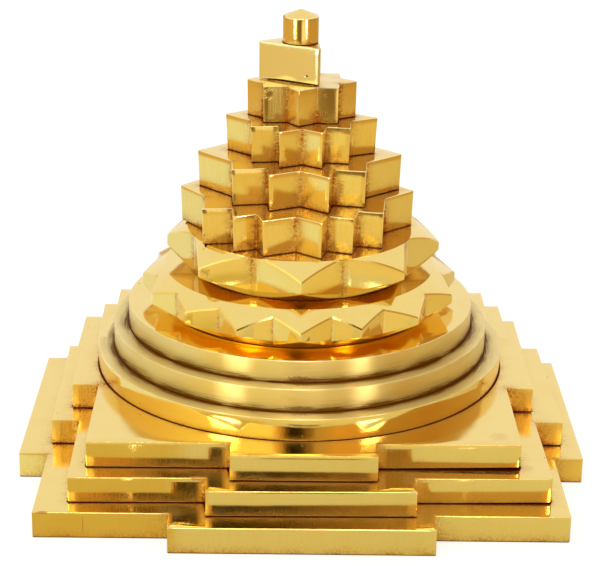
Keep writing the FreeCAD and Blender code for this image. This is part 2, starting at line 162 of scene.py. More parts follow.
def hollow_corners(corners: np.ndarray) -> np.ndarray:
    """Return the corners of a closed outline that point inwards."""
    arriving = corners - np.roll(corners, 1, axis=0)
    leaving = np.roll(corners, -1, axis=0) - corners
    turning = arriving[:, 0] * leaving[:, 1] - arriving[:, 1] * leaving[:, 0]
    return corners[turning < 0]


def rounded(corners: np.ndarray, radii: np.ndarray, steps: int = 3) -> np.ndarray:
    """Replace each corner of a closed outline by a short arc.

    Args:
        corners: Corners of the outline, in order.
        radii: Radius wanted at each corner.
        steps: Straight pieces of each arc.

    Returns:
        The points of the rounded outline.
    """
    points = []
    count = len(corners)
    for number, corner in enumerate(corners):
        back, ahead = corners[number - 1] - corner, corners[(number + 1) % count] - corner
        room = 0.4 * min(np.linalg.norm(back), np.linalg.norm(ahead))
        back, ahead = unit(back), unit(ahead)
        half = 0.5 * math.acos(float(np.clip(back @ ahead, -1, 1)))
        reach = min(radii[number] / math.tan(half), room)
        if reach <= 0:
            points.append(corner)
            continue
        radius = reach * math.tan(half)
        centre = corner + unit(back + ahead) * radius / math.sin(half)
        first, last = corner + back * reach - centre, corner + ahead * reach - centre
        start = math.atan2(first[1], first[0])
        sweep = (math.atan2(last[1], last[0]) - start + math.pi) % FULL_TURN - math.pi
        for step in range(steps + 1):
            angle = start + sweep * step / steps
            points.append(centre + radius * np.array([math.cos(angle), math.sin(angle)]))
    return np.array(points)


def spaced(outline: np.ndarray, spacing: float) -> np.ndarray:
    """Divide the long straight pieces of a closed outline so that none exceeds a spacing."""
    points = []
    for start, end in zip(outline, np.roll(outline, -1, axis=0)):
        pieces = max(1, math.ceil(np.linalg.norm(end - start) / spacing))
        points += [start + (end - start) * step / pieces for step in range(pieces)]
    return np.array(points)


def inset(outline: np.ndarray, distance: float) -> np.ndarray:
    """Move a closed outline inwards by a small distance."""
    arriving = unit(outline - np.roll(outline, 1, axis=0))
    leaving = unit(np.roll(outline, -1, axis=0) - outline)
    outward = unit(np.stack([(arriving + leaving)[:, 1], -(arriving + leaving)[:, 0]], axis=1))
    facing = np.stack([leaving[:, 1], -leaving[:, 0]], axis=1)
    slant = np.clip(np.sum(outward * facing, axis=1, keepdims=True), 0.4, 1)
    return outline - outward * distance / slant


def reach_towards(outline: np.ndarray, centre: np.ndarray, towards: np.ndarray) -> np.ndarray:
    """Measure how far an outline lies from a centre in the direction of each point.

    Args:
        outline: A closed outline that goes once round the centre.
        centre: The centre.
        towards: Points that give the directions.

    Returns:
        One distance for each point.
    """
    dense = spaced(outline, 0.5)
    offsets, wanted = dense - centre, towards - centre
    angles = np.arctan2(offsets[:, 1], offsets[:, 0])
    order = np.argsort(angles)
    directions = np.arctan2(wanted[:, 1], wanted[:, 0])
    radii = np.linalg.norm(offsets, axis=1)
    return np.interp(directions, angles[order], radii[order], period=FULL_TURN)


def distance_to_line(points: np.ndarray, outline: np.ndarray) -> np.ndarray:
    """Measure each point's plan distance to a closed outline."""
    starts, ends = outline, np.roll(outline, -1, axis=0)
    along = ends - starts
    lengths = np.maximum(np.sum(along * along, axis=1), 1e-12)
    nearest = np.full(len(points), np.inf)
    for start, step, length in zip(starts, along, lengths):
        share = np.clip((points - start) @ step / length, 0, 1)
        gaps = np.linalg.norm(points - start - share[:, None] * step, axis=1)
        nearest = np.minimum(nearest, gaps)
    return nearest


def distance_to_points(points: np.ndarray, marks: np.ndarray) -> np.ndarray:
    """Measure each point's distance to the nearest of some marks, in plan or in space."""
    batch = 2000
    nearest = np.full(len(points), NO_MARK)
    if len(marks):
        for start in range(0, len(points), batch):
            some = points[start:start + batch]
            nearest[start:start + batch] = np.linalg.norm(some[:, None] - marks[None], axis=2).min(axis=1)
    return nearest


def world_points(mesh: Mesh) -> np.ndarray:
    """Return a mesh's points in millimetres."""
    points = np.empty(len(mesh.vertices) * 3, np.float32)
    mesh.vertices.foreach_get("co", points)
    return points.reshape(-1, 3).astype(float) / MM


def placed(name: str, data: bpy.types.ID) -> bpy.types.Object:
    """Make an object of its data and put it in the scene."""
    made = bpy.data.objects.new(name, data)
    bpy.context.scene.collection.objects.link(made)
    return made


def hand_over(name: str, mesh: Mesh, node: str) -> bpy.types.Object:
    """Make a finished piece and hand it to the frame.

    Args:
        name: Name of the piece.
        mesh: Its mesh, already dressed.
        node: The CAD node that it stands for.

    Returns:
        The piece.
    """
    piece = placed(name, mesh)
    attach(piece, "root")
    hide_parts(node)
    log.info("%s: %d faces", piece.name, len(mesh.polygons))
    return piece


class Skin:
    """A closed surface of rings of points, from the middle of the underside to that of the top."""

    def __init__(self) -> None:
        """Start without any ring."""
        self.rings: list[np.ndarray] = []

    def add(self, plan: np.ndarray, height: float | np.ndarray) -> None:
        """Add a ring.

        Args:
            plan: The ring's points in plan, in millimetres.
            height: One height for all its points, or one for each.
        """
        levels = np.broadcast_to(np.asarray(height, float), (len(plan),))
        self.rings.append(np.column_stack([plan, levels]))

    def mesh(self, name: str) -> Mesh:
        """Join the rings and close both ends.

        Args:
            name: Name of the mesh.

        Returns:
            The closed mesh, in metres.
        """
        count = len(self.rings[0])
        points = np.concatenate(self.rings + [self.rings[0].mean(0)[None], self.rings[-1].mean(0)[None]])
        low, high = len(points) - 2, len(points) - 1
        last = (len(self.rings) - 1) * count
        faces = []
        for ring in range(len(self.rings) - 1):
            base, above = ring * count, (ring + 1) * count
            for column in range(count):
                following = (column + 1) % count
                faces.append((base + column, base + following, above + following, above + column))
        for column in range(count):
            following = (column + 1) % count
            faces.append((low, following, column))
            faces.append((high, last + column, last + following))
        mesh = bpy.data.meshes.new(name)
        mesh.from_pydata((points * MM).tolist(), [], faces)
        mesh.update()
        return mesh


@dataclass
class Layer:
    """One brass layer of the stack."""

    HIDDEN_SHARE = 0.9

    node: str
    place: Place
    finish: "BrassFinish"
    other_finish: "BrassFinish | None" = None
    edge: float = 0.3

    def __post_init__(self) -> None:
        """Read the layer's levels from the frame."""
        self.low, self.high = (corner.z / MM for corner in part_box(self.node))
        self.upper: "Layer | None" = None

    def foot_plan(self) -> np.ndarray:
        """Return the outline of the face that the layer stands on."""
        raise NotImplementedError

    def hollows(self) -> np.ndarray:
        """Return the plan points of the upright corners that point inwards."""
        return np.empty((0, 2))

    def worn_and_highlight_edges(self) -> np.ndarray:
        """Return points along the edges that get a brighter colour: wear from polishing and a painted
        highlight.
        """
        raise NotImplementedError

    def make_mesh(self) -> Mesh:
        """Make the layer's mesh."""
        raise NotImplementedError

    def build(self) -> bpy.types.Object:
        """Make the finished piece and hand it to the frame.

        Returns:
            The piece, which stands for the layer's CAD node.
        """
        mesh = self.make_mesh()
        self.store_gaps(mesh)
        soften(mesh)
        mesh.materials.clear()
        mesh.materials.append(self.finish.material(self.node))
        if self.other_finish is not None:
            mesh.materials.append(self.other_finish.material(f"{self.node}_other"))
            for face in mesh.polygons:
                face.material_index = int(self.is_other(face))
        return hand_over(f"{self.node}_brass", mesh, self.node)

    def is_other(self, face: bpy.types.MeshPolygon) -> bool:
        """Tell whether a face has the layer's other finish."""
        return False

    def store_gaps(self, mesh: Mesh) -> None:
        """Store on each point how far it lies from seams, from hollow corners and from the top edge.

        Args:
            mesh: The layer's mesh.
        """
        points = world_points(mesh)
        plan, level = points[:, :2], points[:, 2]
        seam = np.hypot(distance_to_line(plan, self.foot_plan()), level - self.low)
        corner = distance_to_points(plan, self.hollows())
        if self.upper is not None:
            above = distance_to_line(plan, self.upper.foot_plan())
            seam = np.minimum(seam, np.where(self.on_top(level), above, NO_SEAM))
            corner_above = distance_to_points(plan, self.upper.hollows())
            corner = np.minimum(corner, np.hypot(corner_above, self.high - level))
        # Points under the next layer are stored as on the seam, which paints them black as shade.
        store(mesh, "seam_mm", np.where(self.shaded_under_upper(plan, level), 0.0, seam))
        store(mesh, "corner_mm", corner)
        store(mesh, "edge_mm", distance_to_points(points, self.worn_and_highlight_edges()))

    def on_top(self, level: np.ndarray) -> np.ndarray:
        """Find the points that lie on the layer's flat top."""
        return level > self.high - 0.01

    def shaded_under_upper(self, plan: np.ndarray, level: np.ndarray) -> np.ndarray:
        """Find the points that the next layer covers, where light hardly reaches; they are painted black as
        shade.

        Args:
            plan: The points in plan.
            level: Their heights.

        Returns:
            True for each point well below the next layer's foot.
        """
        if self.upper is None:
            return np.zeros(len(plan), bool)
        centre = self.upper.place.centre
        reach = reach_towards(self.upper.foot_plan(), centre, plan)
        return self.on_top(level) & (np.linalg.norm(plan - centre, axis=1) < self.HIDDEN_SHARE * reach)


def store(mesh: Mesh, name: str, values: np.ndarray) -> None:
    """Store one number for each point of a mesh."""
    attribute = mesh.attributes.new(name, "FLOAT", "POINT")
    attribute.data.foreach_set("value", values.astype(np.float32))


def soften(mesh: Mesh) -> None:
    """Shade a mesh smoothly except across its edges."""
    mesh.polygons.foreach_set("use_smooth", np.ones(len(mesh.polygons), bool))
    mesh.set_sharp_from_angle(angle=SHARP_ANGLE)
    mesh.update()


@dataclass
class CutLayer(Layer):
    """A layer sawn and filed from plate: a plan outline with upright walls and broken edges."""

    TOP_SHARES = (0.75, 0.5, 0.3, 0.17, 0.08, 0.03, 0.0)
    COVERED_SHARE = 0.85
    MIDDLE_RADIUS = 0.35
    LEAN_RADIUS = 30.0

    tip_radius: float = 0.35
    spacing: float = 1.6
    lean: float = 0.0
    foot_edge: float = 0.22

    def corners(self) -> np.ndarray:
        """Return the corners of the layer's top in its own plan."""
        raise NotImplementedError

    def corner_radii(self, corners: np.ndarray) -> np.ndarray:
        """Return how round each corner was filed."""
        return np.full(len(corners), self.tip_radius)

    def lift(self, plan: np.ndarray) -> np.ndarray:
        """Return how far the underside stands off the layer below at some plan points."""
        return np.zeros(len(plan))

    def outline(self) -> np.ndarray:
        """Return the rounded outline of the top in the plan of the whole object."""
        corners = self.corners()
        return self.place.to_world(spaced(rounded(corners, self.corner_radii(corners)), self.spacing))

    def lean_in(self) -> float:
        """Return how far the walls lean in at the foot."""
        return (self.high - self.low) * math.tan(math.radians(self.lean))

    def foot_plan(self) -> np.ndarray:
        """Return the outline of the face that the layer stands on."""
        return inset(self.outline(), self.lean_in())

    def hollows(self) -> np.ndarray:
        """Return the plan points of the upright corners that point inwards."""
        return self.place.to_world(hollow_corners(self.corners()))

    def worn_and_highlight_edges(self) -> np.ndarray:
        """Return points along the top edge and down the arrises that point outwards."""
        rim = spaced(self.outline(), WORN_HIGHLIGHT_SPACING)
        top = np.column_stack([rim, np.full(len(rim), self.high)])
        corners = self.corners()
        hollow = distance_to_points(corners, hollow_corners(corners)) < 0.01
        upper = self.place.to_world(corners[~hollow])
        lower = self.place.to_world(corners[~hollow] * (1 - self.lean_in() / self.LEAN_RADIUS))
        levels = np.linspace(0, 1, 24)
        arrises = [
            np.column_stack([lower + (upper - lower) * share, np.full(len(upper), level)])
            for share, level in zip(levels, self.low + levels * (self.high - self.low))
        ]
        return np.concatenate([top] + arrises)

    def wall_rings(self, skin: Skin) -> np.ndarray:
        """Add the rings of the underside's rim, the walls and the top edge.

        Args:
            skin: The surface that gets the rings.

        Returns:
            The outline of the flat top.
        """
        outline = self.outline()
        lean = self.lean_in()
        lift = self.lift(outline)
        height = self.high - self.low
        skin.add(inset(outline, lean + self.foot_edge), self.low + lift)
        for share in np.linspace(0, 1, 7):
            rise = self.foot_edge + share * (height - self.foot_edge - self.edge)
            level = self.low + lift + rise * (1 - lift / height)
            skin.add(inset(outline, lean * (1 - rise / height)), level)
        for angle in np.radians([30, 60, 90]):
            over = self.edge * (1 - math.cos(angle))
            skin.add(inset(outline, over), self.high - self.edge * (1 - math.sin(angle)))
        return inset(outline, self.edge)

    def top_rings(self, skin: Skin, rim: np.ndarray) -> None:
        """Add the rings of the flat top, from its rim to below the layer that stands on it.

        Args:
            skin: The surface that gets the rings.
            rim: The outline of the flat top.
        """
        centre, within = self.place.centre, np.full(len(rim), self.MIDDLE_RADIUS)
        if self.upper is not None:
            centre = self.upper.place.centre
            within = reach_towards(self.upper.foot_plan(), centre, rim)
        offsets = rim - centre
        radii = np.linalg.norm(offsets, axis=1)
        within = np.minimum(within, radii - 0.05)
        for share in self.TOP_SHARES:
            reach = within + (radii - within) * share
            skin.add(centre + offsets * (reach / radii)[:, None], self.high)
        skin.add(centre + offsets * (self.COVERED_SHARE * within / radii)[:, None], self.high)

    def make_mesh(self) -> Mesh:
        """Make the layer's mesh."""
        skin = Skin()
        self.top_rings(skin, self.wall_rings(skin))
        return skin.mesh(self.node)


@dataclass
class SquarePlate(CutLayer):
    """A square plate with a gate in the middle of each side."""

    across: float = 0.0
    square: float = 0.0
    gate: float = 0.0
    spacing: float = 2.5
    tip_radius: float = 0.2
    worn_radius: float = 0.6
    gap: float = 0.0
    gap_from: float = 0.0
    recess_radius: float = 0.0
    recess_depth: float = 4.6
    recess_place: tuple[float, float] = (-1.45, 0.35)

    def wall_rings(self, skin: Skin) -> np.ndarray:
        """Add the recess for the nut, where the plate has one, then the walls and the top edge."""
        if self.recess_radius:
            directions = unit(self.outline() - self.recess_place)
            depth, bevel = self.recess_depth, 0.3
            for inward, level in ((1.0, depth), (0.0, depth), (0.0, bevel), (-bevel, 0.0)):
                skin.add(self.recess_place + directions * (self.recess_radius - inward), self.low + level)
        return super().wall_rings(skin)

    def corners(self) -> np.ndarray:
        """Return the corners of the plate in its own plan."""
        reach, half, gate = self.across / 2, self.square / 2, self.gate / 2
        quarter = np.array([(reach, -gate), (reach, gate), (half, gate), (half, half), (gate, half)])
        turns = []
        for side in range(4):
            cosine, sine = round(math.cos(side * math.pi / 2)), round(math.sin(side * math.pi / 2))
            turns.append(quarter @ np.array([[cosine, sine], [-sine, cosine]]))
        return np.concatenate(turns)

    def corner_radii(self, corners: np.ndarray) -> np.ndarray:
        """Return how round each corner was filed: more at the right front corner."""
        worn = (corners[:, 0] > 0) & (corners[:, 1] < 0) & (np.abs(corners[:, 0] + corners[:, 1]) < 1)
        return np.where(worn, self.worn_radius, self.tip_radius)

    def is_other(self, face: bpy.types.MeshPolygon) -> bool:
        """Tell whether a face is the front of a side gate, which was only sawn."""
        beside = abs(face.center.x / MM - self.place.x) > self.square / 2 + 0.2
        return beside and face.normal.y < -0.8 and face.center.y < 0

    def lift(self, plan: np.ndarray) -> np.ndarray:
        """Return the open seam, which widens to the right along the front."""
        half = self.square / 2
        share = np.clip((plan[:, 0] - self.gap_from) / (half - self.gap_from), 0, 1)
        return self.gap * share * np.clip((-plan[:, 1] - self.gate / 4) / (half - self.gate / 4), 0, 1)


@dataclass
class StarTier(CutLayer):
    """A star tier, sawn out and filed by hand."""

    length: float = 0.0
    shares: list = field(default_factory=list)
    tip_radius: float = 0.3
    spacing: float = 1.3

    def corners(self) -> np.ndarray:
        """Return the corners of the star in its own plan."""
        back = [(x, -y) for x, y in reversed(self.shares[1:-1])]
        return np.array(self.shares + back) * self.length / 2


@dataclass
class TriangleBlock(CutLayer):
    """The triangle block, which stands on a low foot and leaves a dark gap below its faces."""

    side: float = 18.8
    tip_radius: float = 0.4
    blunt_radius: float = 0.5
    foot_inset: float = 1.2
    gap_left: float = 0.12
    gap_middle: float = 0.5
    gap_right: float = 0.3
    spacing: float = 1.0

    def corners(self) -> np.ndarray:
        """Return the three corners, the first one to the left."""
        angles = math.pi + np.arange(3) * FULL_TURN / 3
        return self.side / math.sqrt(3) * np.stack([np.cos(angles), np.sin(angles)], axis=1)

    def corner_radii(self, corners: np.ndarray) -> np.ndarray:
        """Return how round each corner was filed: more at the front one."""
        return np.where(corners[:, 1] < -1, self.blunt_radius, self.tip_radius)

    def foot_plan(self) -> np.ndarray:
        """Return the outline of the low foot, a smaller triangle about the same middle."""
        outline = self.outline()
        share = 1 - self.foot_inset / (self.side / (2 * math.sqrt(3)))
        return outline.mean(0) + (outline - outline.mean(0)) * share

    def is_other(self, face: bpy.types.MeshPolygon) -> bool:
        """Tell whether a face is an upright one, which gets a paler copy of the brass as a painted highlight.
        """
        return abs(face.normal.z) < 0.5

    def lift(self, plan: np.ndarray) -> np.ndarray:
        """Return the height of the gap at some plan points."""
        left = self.place.x - self.side / math.sqrt(3)
        share = (plan[:, 0] - left) / (self.side * math.sqrt(3) / 2)
        return np.interp(share, [0, 0.4, 1], [self.gap_left, self.gap_middle, self.gap_right])

    def wall_rings(self, skin: Skin) -> np.ndarray:
        """Add the foot's rings, then those of the walls and the top edge."""
        foot = self.foot_plan()
        skin.add(foot, self.low)
        skin.add(foot, self.low + self.lift(foot))
        return super().wall_rings(skin)


@dataclass
class Lathe(Layer):
    """A layer turned on a lathe from a section of radii and heights."""

    columns: int = 256

    def section(self) -> list[tuple[float, float]]:
        """Return the corners of the section, from the underside's rim to the top's."""
        raise NotImplementedError

    def foot_plan(self) -> np.ndarray:
        """Return the circle that the layer stands on."""
        return self.place.to_world(circle_plan(self.section()[0][0], self.columns))

    def worn_and_highlight_edges(self) -> np.ndarray:
        """Return points along the convex edges of the section."""
        rims = []
        for radius, level in self.section()[1::2]:
            rim = self.place.to_world(circle_plan(radius, 720))
            rims.append(np.column_stack([rim, np.full(len(rim), level)]))
        return np.concatenate(rims)

    def corner_rounding(self) -> list[float]:
        """Return the radius of the arc at each corner of the section."""
        return [self.edge] * len(self.section())

    def profile(self) -> np.ndarray:
        """Return the section with each corner replaced by an arc and long runs divided."""
        section = np.array(self.section())
        closed = np.concatenate([section, [[0.0, section[-1][1]], [0.0, section[0][1]]]])
        radii = np.array(self.corner_rounding() + [0.0, 0.0])
        points = spaced(rounded(closed, radii, steps=4), 2.0)
        last = int(np.argmin(np.hypot(points[:, 0], points[:, 1] - section[-1][1])))
        return points[:last]

    def make_mesh(self) -> Mesh:
        """Make the layer's mesh."""
        skin = Skin()
        ring = circle_plan(1.0, self.columns)
        start = self.section()[0]
        skin.add(self.place.to_world(ring * start[0] / 2), start[1])
        for radius, level in self.profile():
            skin.add(self.place.to_world(ring * radius), level)
        return skin.mesh(self.node)


@dataclass
class RingDisc(Lathe):
    """The turned disc with three rings."""

    low_radius: float = 56.6
    middle_radius: float = 52.1
    high_radius: float = 47.9
    first_rise: float = 6.05
    second_rise: float = 6.4
    ledge_fillet: float = 0.5

    def is_other(self, face: bpy.types.MeshPolygon) -> bool:
        """Tell whether a face belongs to the two upper bands or their ledges."""
        inner = math.hypot(face.center.x, face.center.y) < (self.low_radius - 0.6) * MM
        start = (self.low + self.first_rise + 0.2 - 0.4 * inner) * MM
        return start < face.center.z < (self.high - 0.02) * MM

    def section(self) -> list[tuple[float, float]]:
        """Return the corners of the section, from the underside's rim to the top's."""
        first = self.low + self.first_rise
        second = first + self.second_rise
        return [
            (self.low_radius, self.low),
            (self.low_radius, first),
            (self.middle_radius, first),
            (self.middle_radius, second),
            (self.high_radius, second),
            (self.high_radius, self.high),
        ]

    def corner_rounding(self) -> list[float]:
        """Return the radius of the arc at each corner of the section."""
        return [0.15, self.edge, self.ledge_fillet, self.edge, self.ledge_fillet, self.edge]

    def store_gaps(self, mesh: Mesh) -> None:
        """Store the distances, with the inner corners of the ledges taken as seams, so these creases get the
        seam line and the residue and painted shade of the seams.
        """
        super().store_gaps(mesh)
        points = world_points(mesh)
        radius = np.linalg.norm(points[:, :2] - self.place.centre, axis=1)
        corner = np.full(len(points), NO_MARK)
        for ledge_radius, ledge_level in self.section()[2::2]:
            corner = np.minimum(corner, np.hypot(radius - ledge_radius, points[:, 2] - ledge_level))
        seam = np.empty(len(points), np.float32)
        mesh.attributes["seam_mm"].data.foreach_get("value", seam)
        mesh.attributes["seam_mm"].data.foreach_set("value", np.minimum(seam, corner).astype(np.float32))
        mesh.attributes["corner_mm"].data.foreach_set("value", corner.astype(np.float32))


@dataclass
class BinduCap(Lathe):
    """The round cap with its low cone."""

    radius: float = 4.75
    cone: float = 1.75
    columns: int = 96

    def section(self) -> list[tuple[float, float]]:
        """Return the corners of the section, from the underside's rim to the apex."""
        rim = self.high - self.cone
        return [(self.radius, self.low), (self.radius, rim), (0.4, self.high)]

    def corner_rounding(self) -> list[float]:
        """Return the radius of the arc at each corner of the section."""
        return [0.3, self.edge, 0.3]


class Graph:
    """A node tree with short calls that add nodes and join them."""

    def __init__(self, tree: bpy.types.NodeTree) -> None:
        """Keep the tree that the calls work on."""
        self.tree = tree

    def node(self, kind: str, settings: dict | None = None, inputs: dict | None = None) -> bpy.types.Node:
        """Add a node.

        Args:
            kind: The node's type.
            settings: Properties to set first.
            inputs: Values or sockets for its inputs, by name or number.

        Returns:
            The new node.
        """
        node = self.tree.nodes.new(kind)
        for name, value in (settings or {}).items():
            setattr(node, name, value)
        for key, value in (inputs or {}).items():
            self.feed(node.inputs[key], value)
        return node

    def feed(self, socket: Socket, value: object) -> None:
        """Give an input a value, or join it to an output."""
        if isinstance(value, Socket):
            self.tree.links.new(value, socket)
        else:
            socket.default_value = value

    def math(self, operation: str, *values: object) -> Socket:
        """Add a Math node and return its output."""
        return self.node("ShaderNodeMath", {"operation": operation}, dict(enumerate(values))).outputs[0]

    def vector(self, operation: str, *values: object) -> Socket:
        """Add a Vector Math node and return its vector."""
        kind = "ShaderNodeVectorMath"
        return self.node(kind, {"operation": operation}, dict(enumerate(values))).outputs["Vector"]

    def plus(self, first: object, second: object) -> Socket:
        """Add two values."""
        return self.math("ADD", first, second)

    def minus(self, first: object, second: object) -> Socket:
        """Subtract the second value from the first."""
        return self.math("SUBTRACT", first, second)

    def larger(self, first: object, second: object) -> Socket:
        """Return the larger of two values."""
        return self.math("MAXIMUM", first, second)

    def product(self, *values: object) -> Socket:
        """Multiply some values, one after the other."""
        result = values[0]
        for value in values[1:]:
            result = self.math("MULTIPLY", result, value)
        return result

    def group(self, tree: bpy.types.NodeTree, inputs: dict) -> bpy.types.Node:
        """Place a node group with some inputs."""
        return self.node("ShaderNodeGroup", {"node_tree": tree}, inputs)

    def attribute(self, name: str) -> Socket:
        """Read a number that is stored on the mesh."""
        return self.node("ShaderNodeAttribute", {"attribute_name": name}).outputs["Fac"]

    def place(self) -> Socket:
        """Return the place in the object's own coordinates, in metres."""
        return self.node("ShaderNodeTexCoord").outputs["Object"]

    def millimetres(self, place: Socket) -> Socket:
        """Return a place in metres as one in millimetres."""
        return self.vector("MULTIPLY", place, (1 / MM, 1 / MM, 1 / MM))

    def split(self, vector: Socket) -> list[Socket]:
        """Return a vector's three coordinates."""
        return list(self.node("ShaderNodeSeparateXYZ", {}, {0: vector}).outputs)

    def join(self, x: object = 0.0, y: object = 0.0, z: object = 0.0) -> Socket:
        """Return the vector with three coordinates."""
        return self.node("ShaderNodeCombineXYZ", {}, {"X": x, "Y": y, "Z": z}).outputs[0]

    def length(self, vector: Socket) -> Socket:
        """Return a vector's length."""
        return self.node("ShaderNodeVectorMath", {"operation": "LENGTH"}, {0: vector}).outputs["Value"]

    def clamped(self, value: Socket) -> Socket:
        """Keep a value between 0 and 1."""
        return self.node("ShaderNodeClamp", {}, {"Value": value}).outputs[0]

    def bump(self, height: Socket) -> Socket:
        """Return the normal of a surface with some relief."""
        inputs = {"Height": height, "Strength": 1.0, "Distance": MARK_DEPTH * MM}
        return self.node("ShaderNodeBump", {}, inputs).outputs["Normal"]

    def noise(self, place: object, scale: float, detail: float = 2.0, rough: float = 0.5) -> Socket:
        """Add a Noise Texture and return its factor."""
        inputs = {"Vector": place, "Scale": scale, "Detail": detail, "Roughness": rough}
        return self.node("ShaderNodeTexNoise", {}, inputs).outputs["Fac"]

    def ramp(self, value: object, start: object, end: object, low: float = 0, high: float = 1) -> Socket:
        """Add a smooth Map Range and return its result."""
        inputs = {"Value": value, "From Min": start, "From Max": end, "To Min": low, "To Max": high}
        return self.node("ShaderNodeMapRange", {"interpolation_type": "SMOOTHSTEP"}, inputs).outputs["Result"]

    def linear(self, value: object, start: float, end: float) -> Socket:
        """Add a straight Map Range to 0 to 1 and return its result."""
        inputs = {"Value": value, "From Min": start, "From Max": end}
        return self.node("ShaderNodeMapRange", {}, inputs).outputs["Result"]

    def colour_ramp(self, value: object, stops: tuple) -> Socket:
        """Add a Color Ramp with some stops and return its colour."""
        node = self.node("ShaderNodeValToRGB", {}, {"Fac": value})
        elements = node.color_ramp.elements
        while len(elements) < len(stops):
            elements.new(0.5)
        for element, (position, colour) in zip(elements, stops):
            element.position = position
            element.color = (*colour, 1)
        return node.outputs["Color"]

    def blend(self, share: object, first: object, second: object) -> Socket:
        """Add a colour Mix and return its result."""
        node = self.node("ShaderNodeMix", {"data_type": "RGBA"})
        self.feed(node.inputs["Factor"], share)
        colours = [socket for socket in node.inputs if socket.type == "RGBA"]
        self.feed(colours[0], first)
        self.feed(colours[1], second)
        return [socket for socket in node.outputs if socket.type == "RGBA"][0]


def new_material(name: str) -> tuple[bpy.types.Material, Graph, bpy.types.Node]:
    """Start a material.

    Args:
        name: The material's name.

    Returns:
        The material, its graph and its Principled shader.
    """
    material = bpy.data.materials.new(name)
    material.use_nodes = True
    return material, Graph(material.node_tree), material.node_tree.nodes["Principled BSDF"]


def set_constants(shader: bpy.types.Node, values: dict) -> None:
    """Set some of a shader's own sockets."""
    for name, value in values.items():
        shader.inputs[name].default_value = value


def new_group(name: str, kind: str, inputs: dict, outputs: dict) -> tuple[Graph, dict, bpy.types.Node]:
    """Start a node group.

    Args:
        name: The group's name.
        kind: The type of its tree.
        inputs: The first value of each input, or its socket type where it has none.
        outputs: Socket type for each output.

    Returns:
        The graph, the inputs by name inside the group, and the node that takes its outputs.
    """
    tree = bpy.data.node_groups.new(name, kind)
    for title, value in inputs.items():
        socket_type = SOCKET_TYPES.get(type(value), value)
        socket = tree.interface.new_socket(title, in_out="INPUT", socket_type=socket_type)
        if value != socket_type:
            socket.default_value = value
    for title, socket_type in outputs.items():
        tree.interface.new_socket(title, in_out="OUTPUT", socket_type=socket_type)
    graph = Graph(tree)
    entry = graph.node("NodeGroupInput")
    given = {socket.name: socket for socket in entry.outputs if socket.name}
    return graph, given, graph.node("NodeGroupOutput")


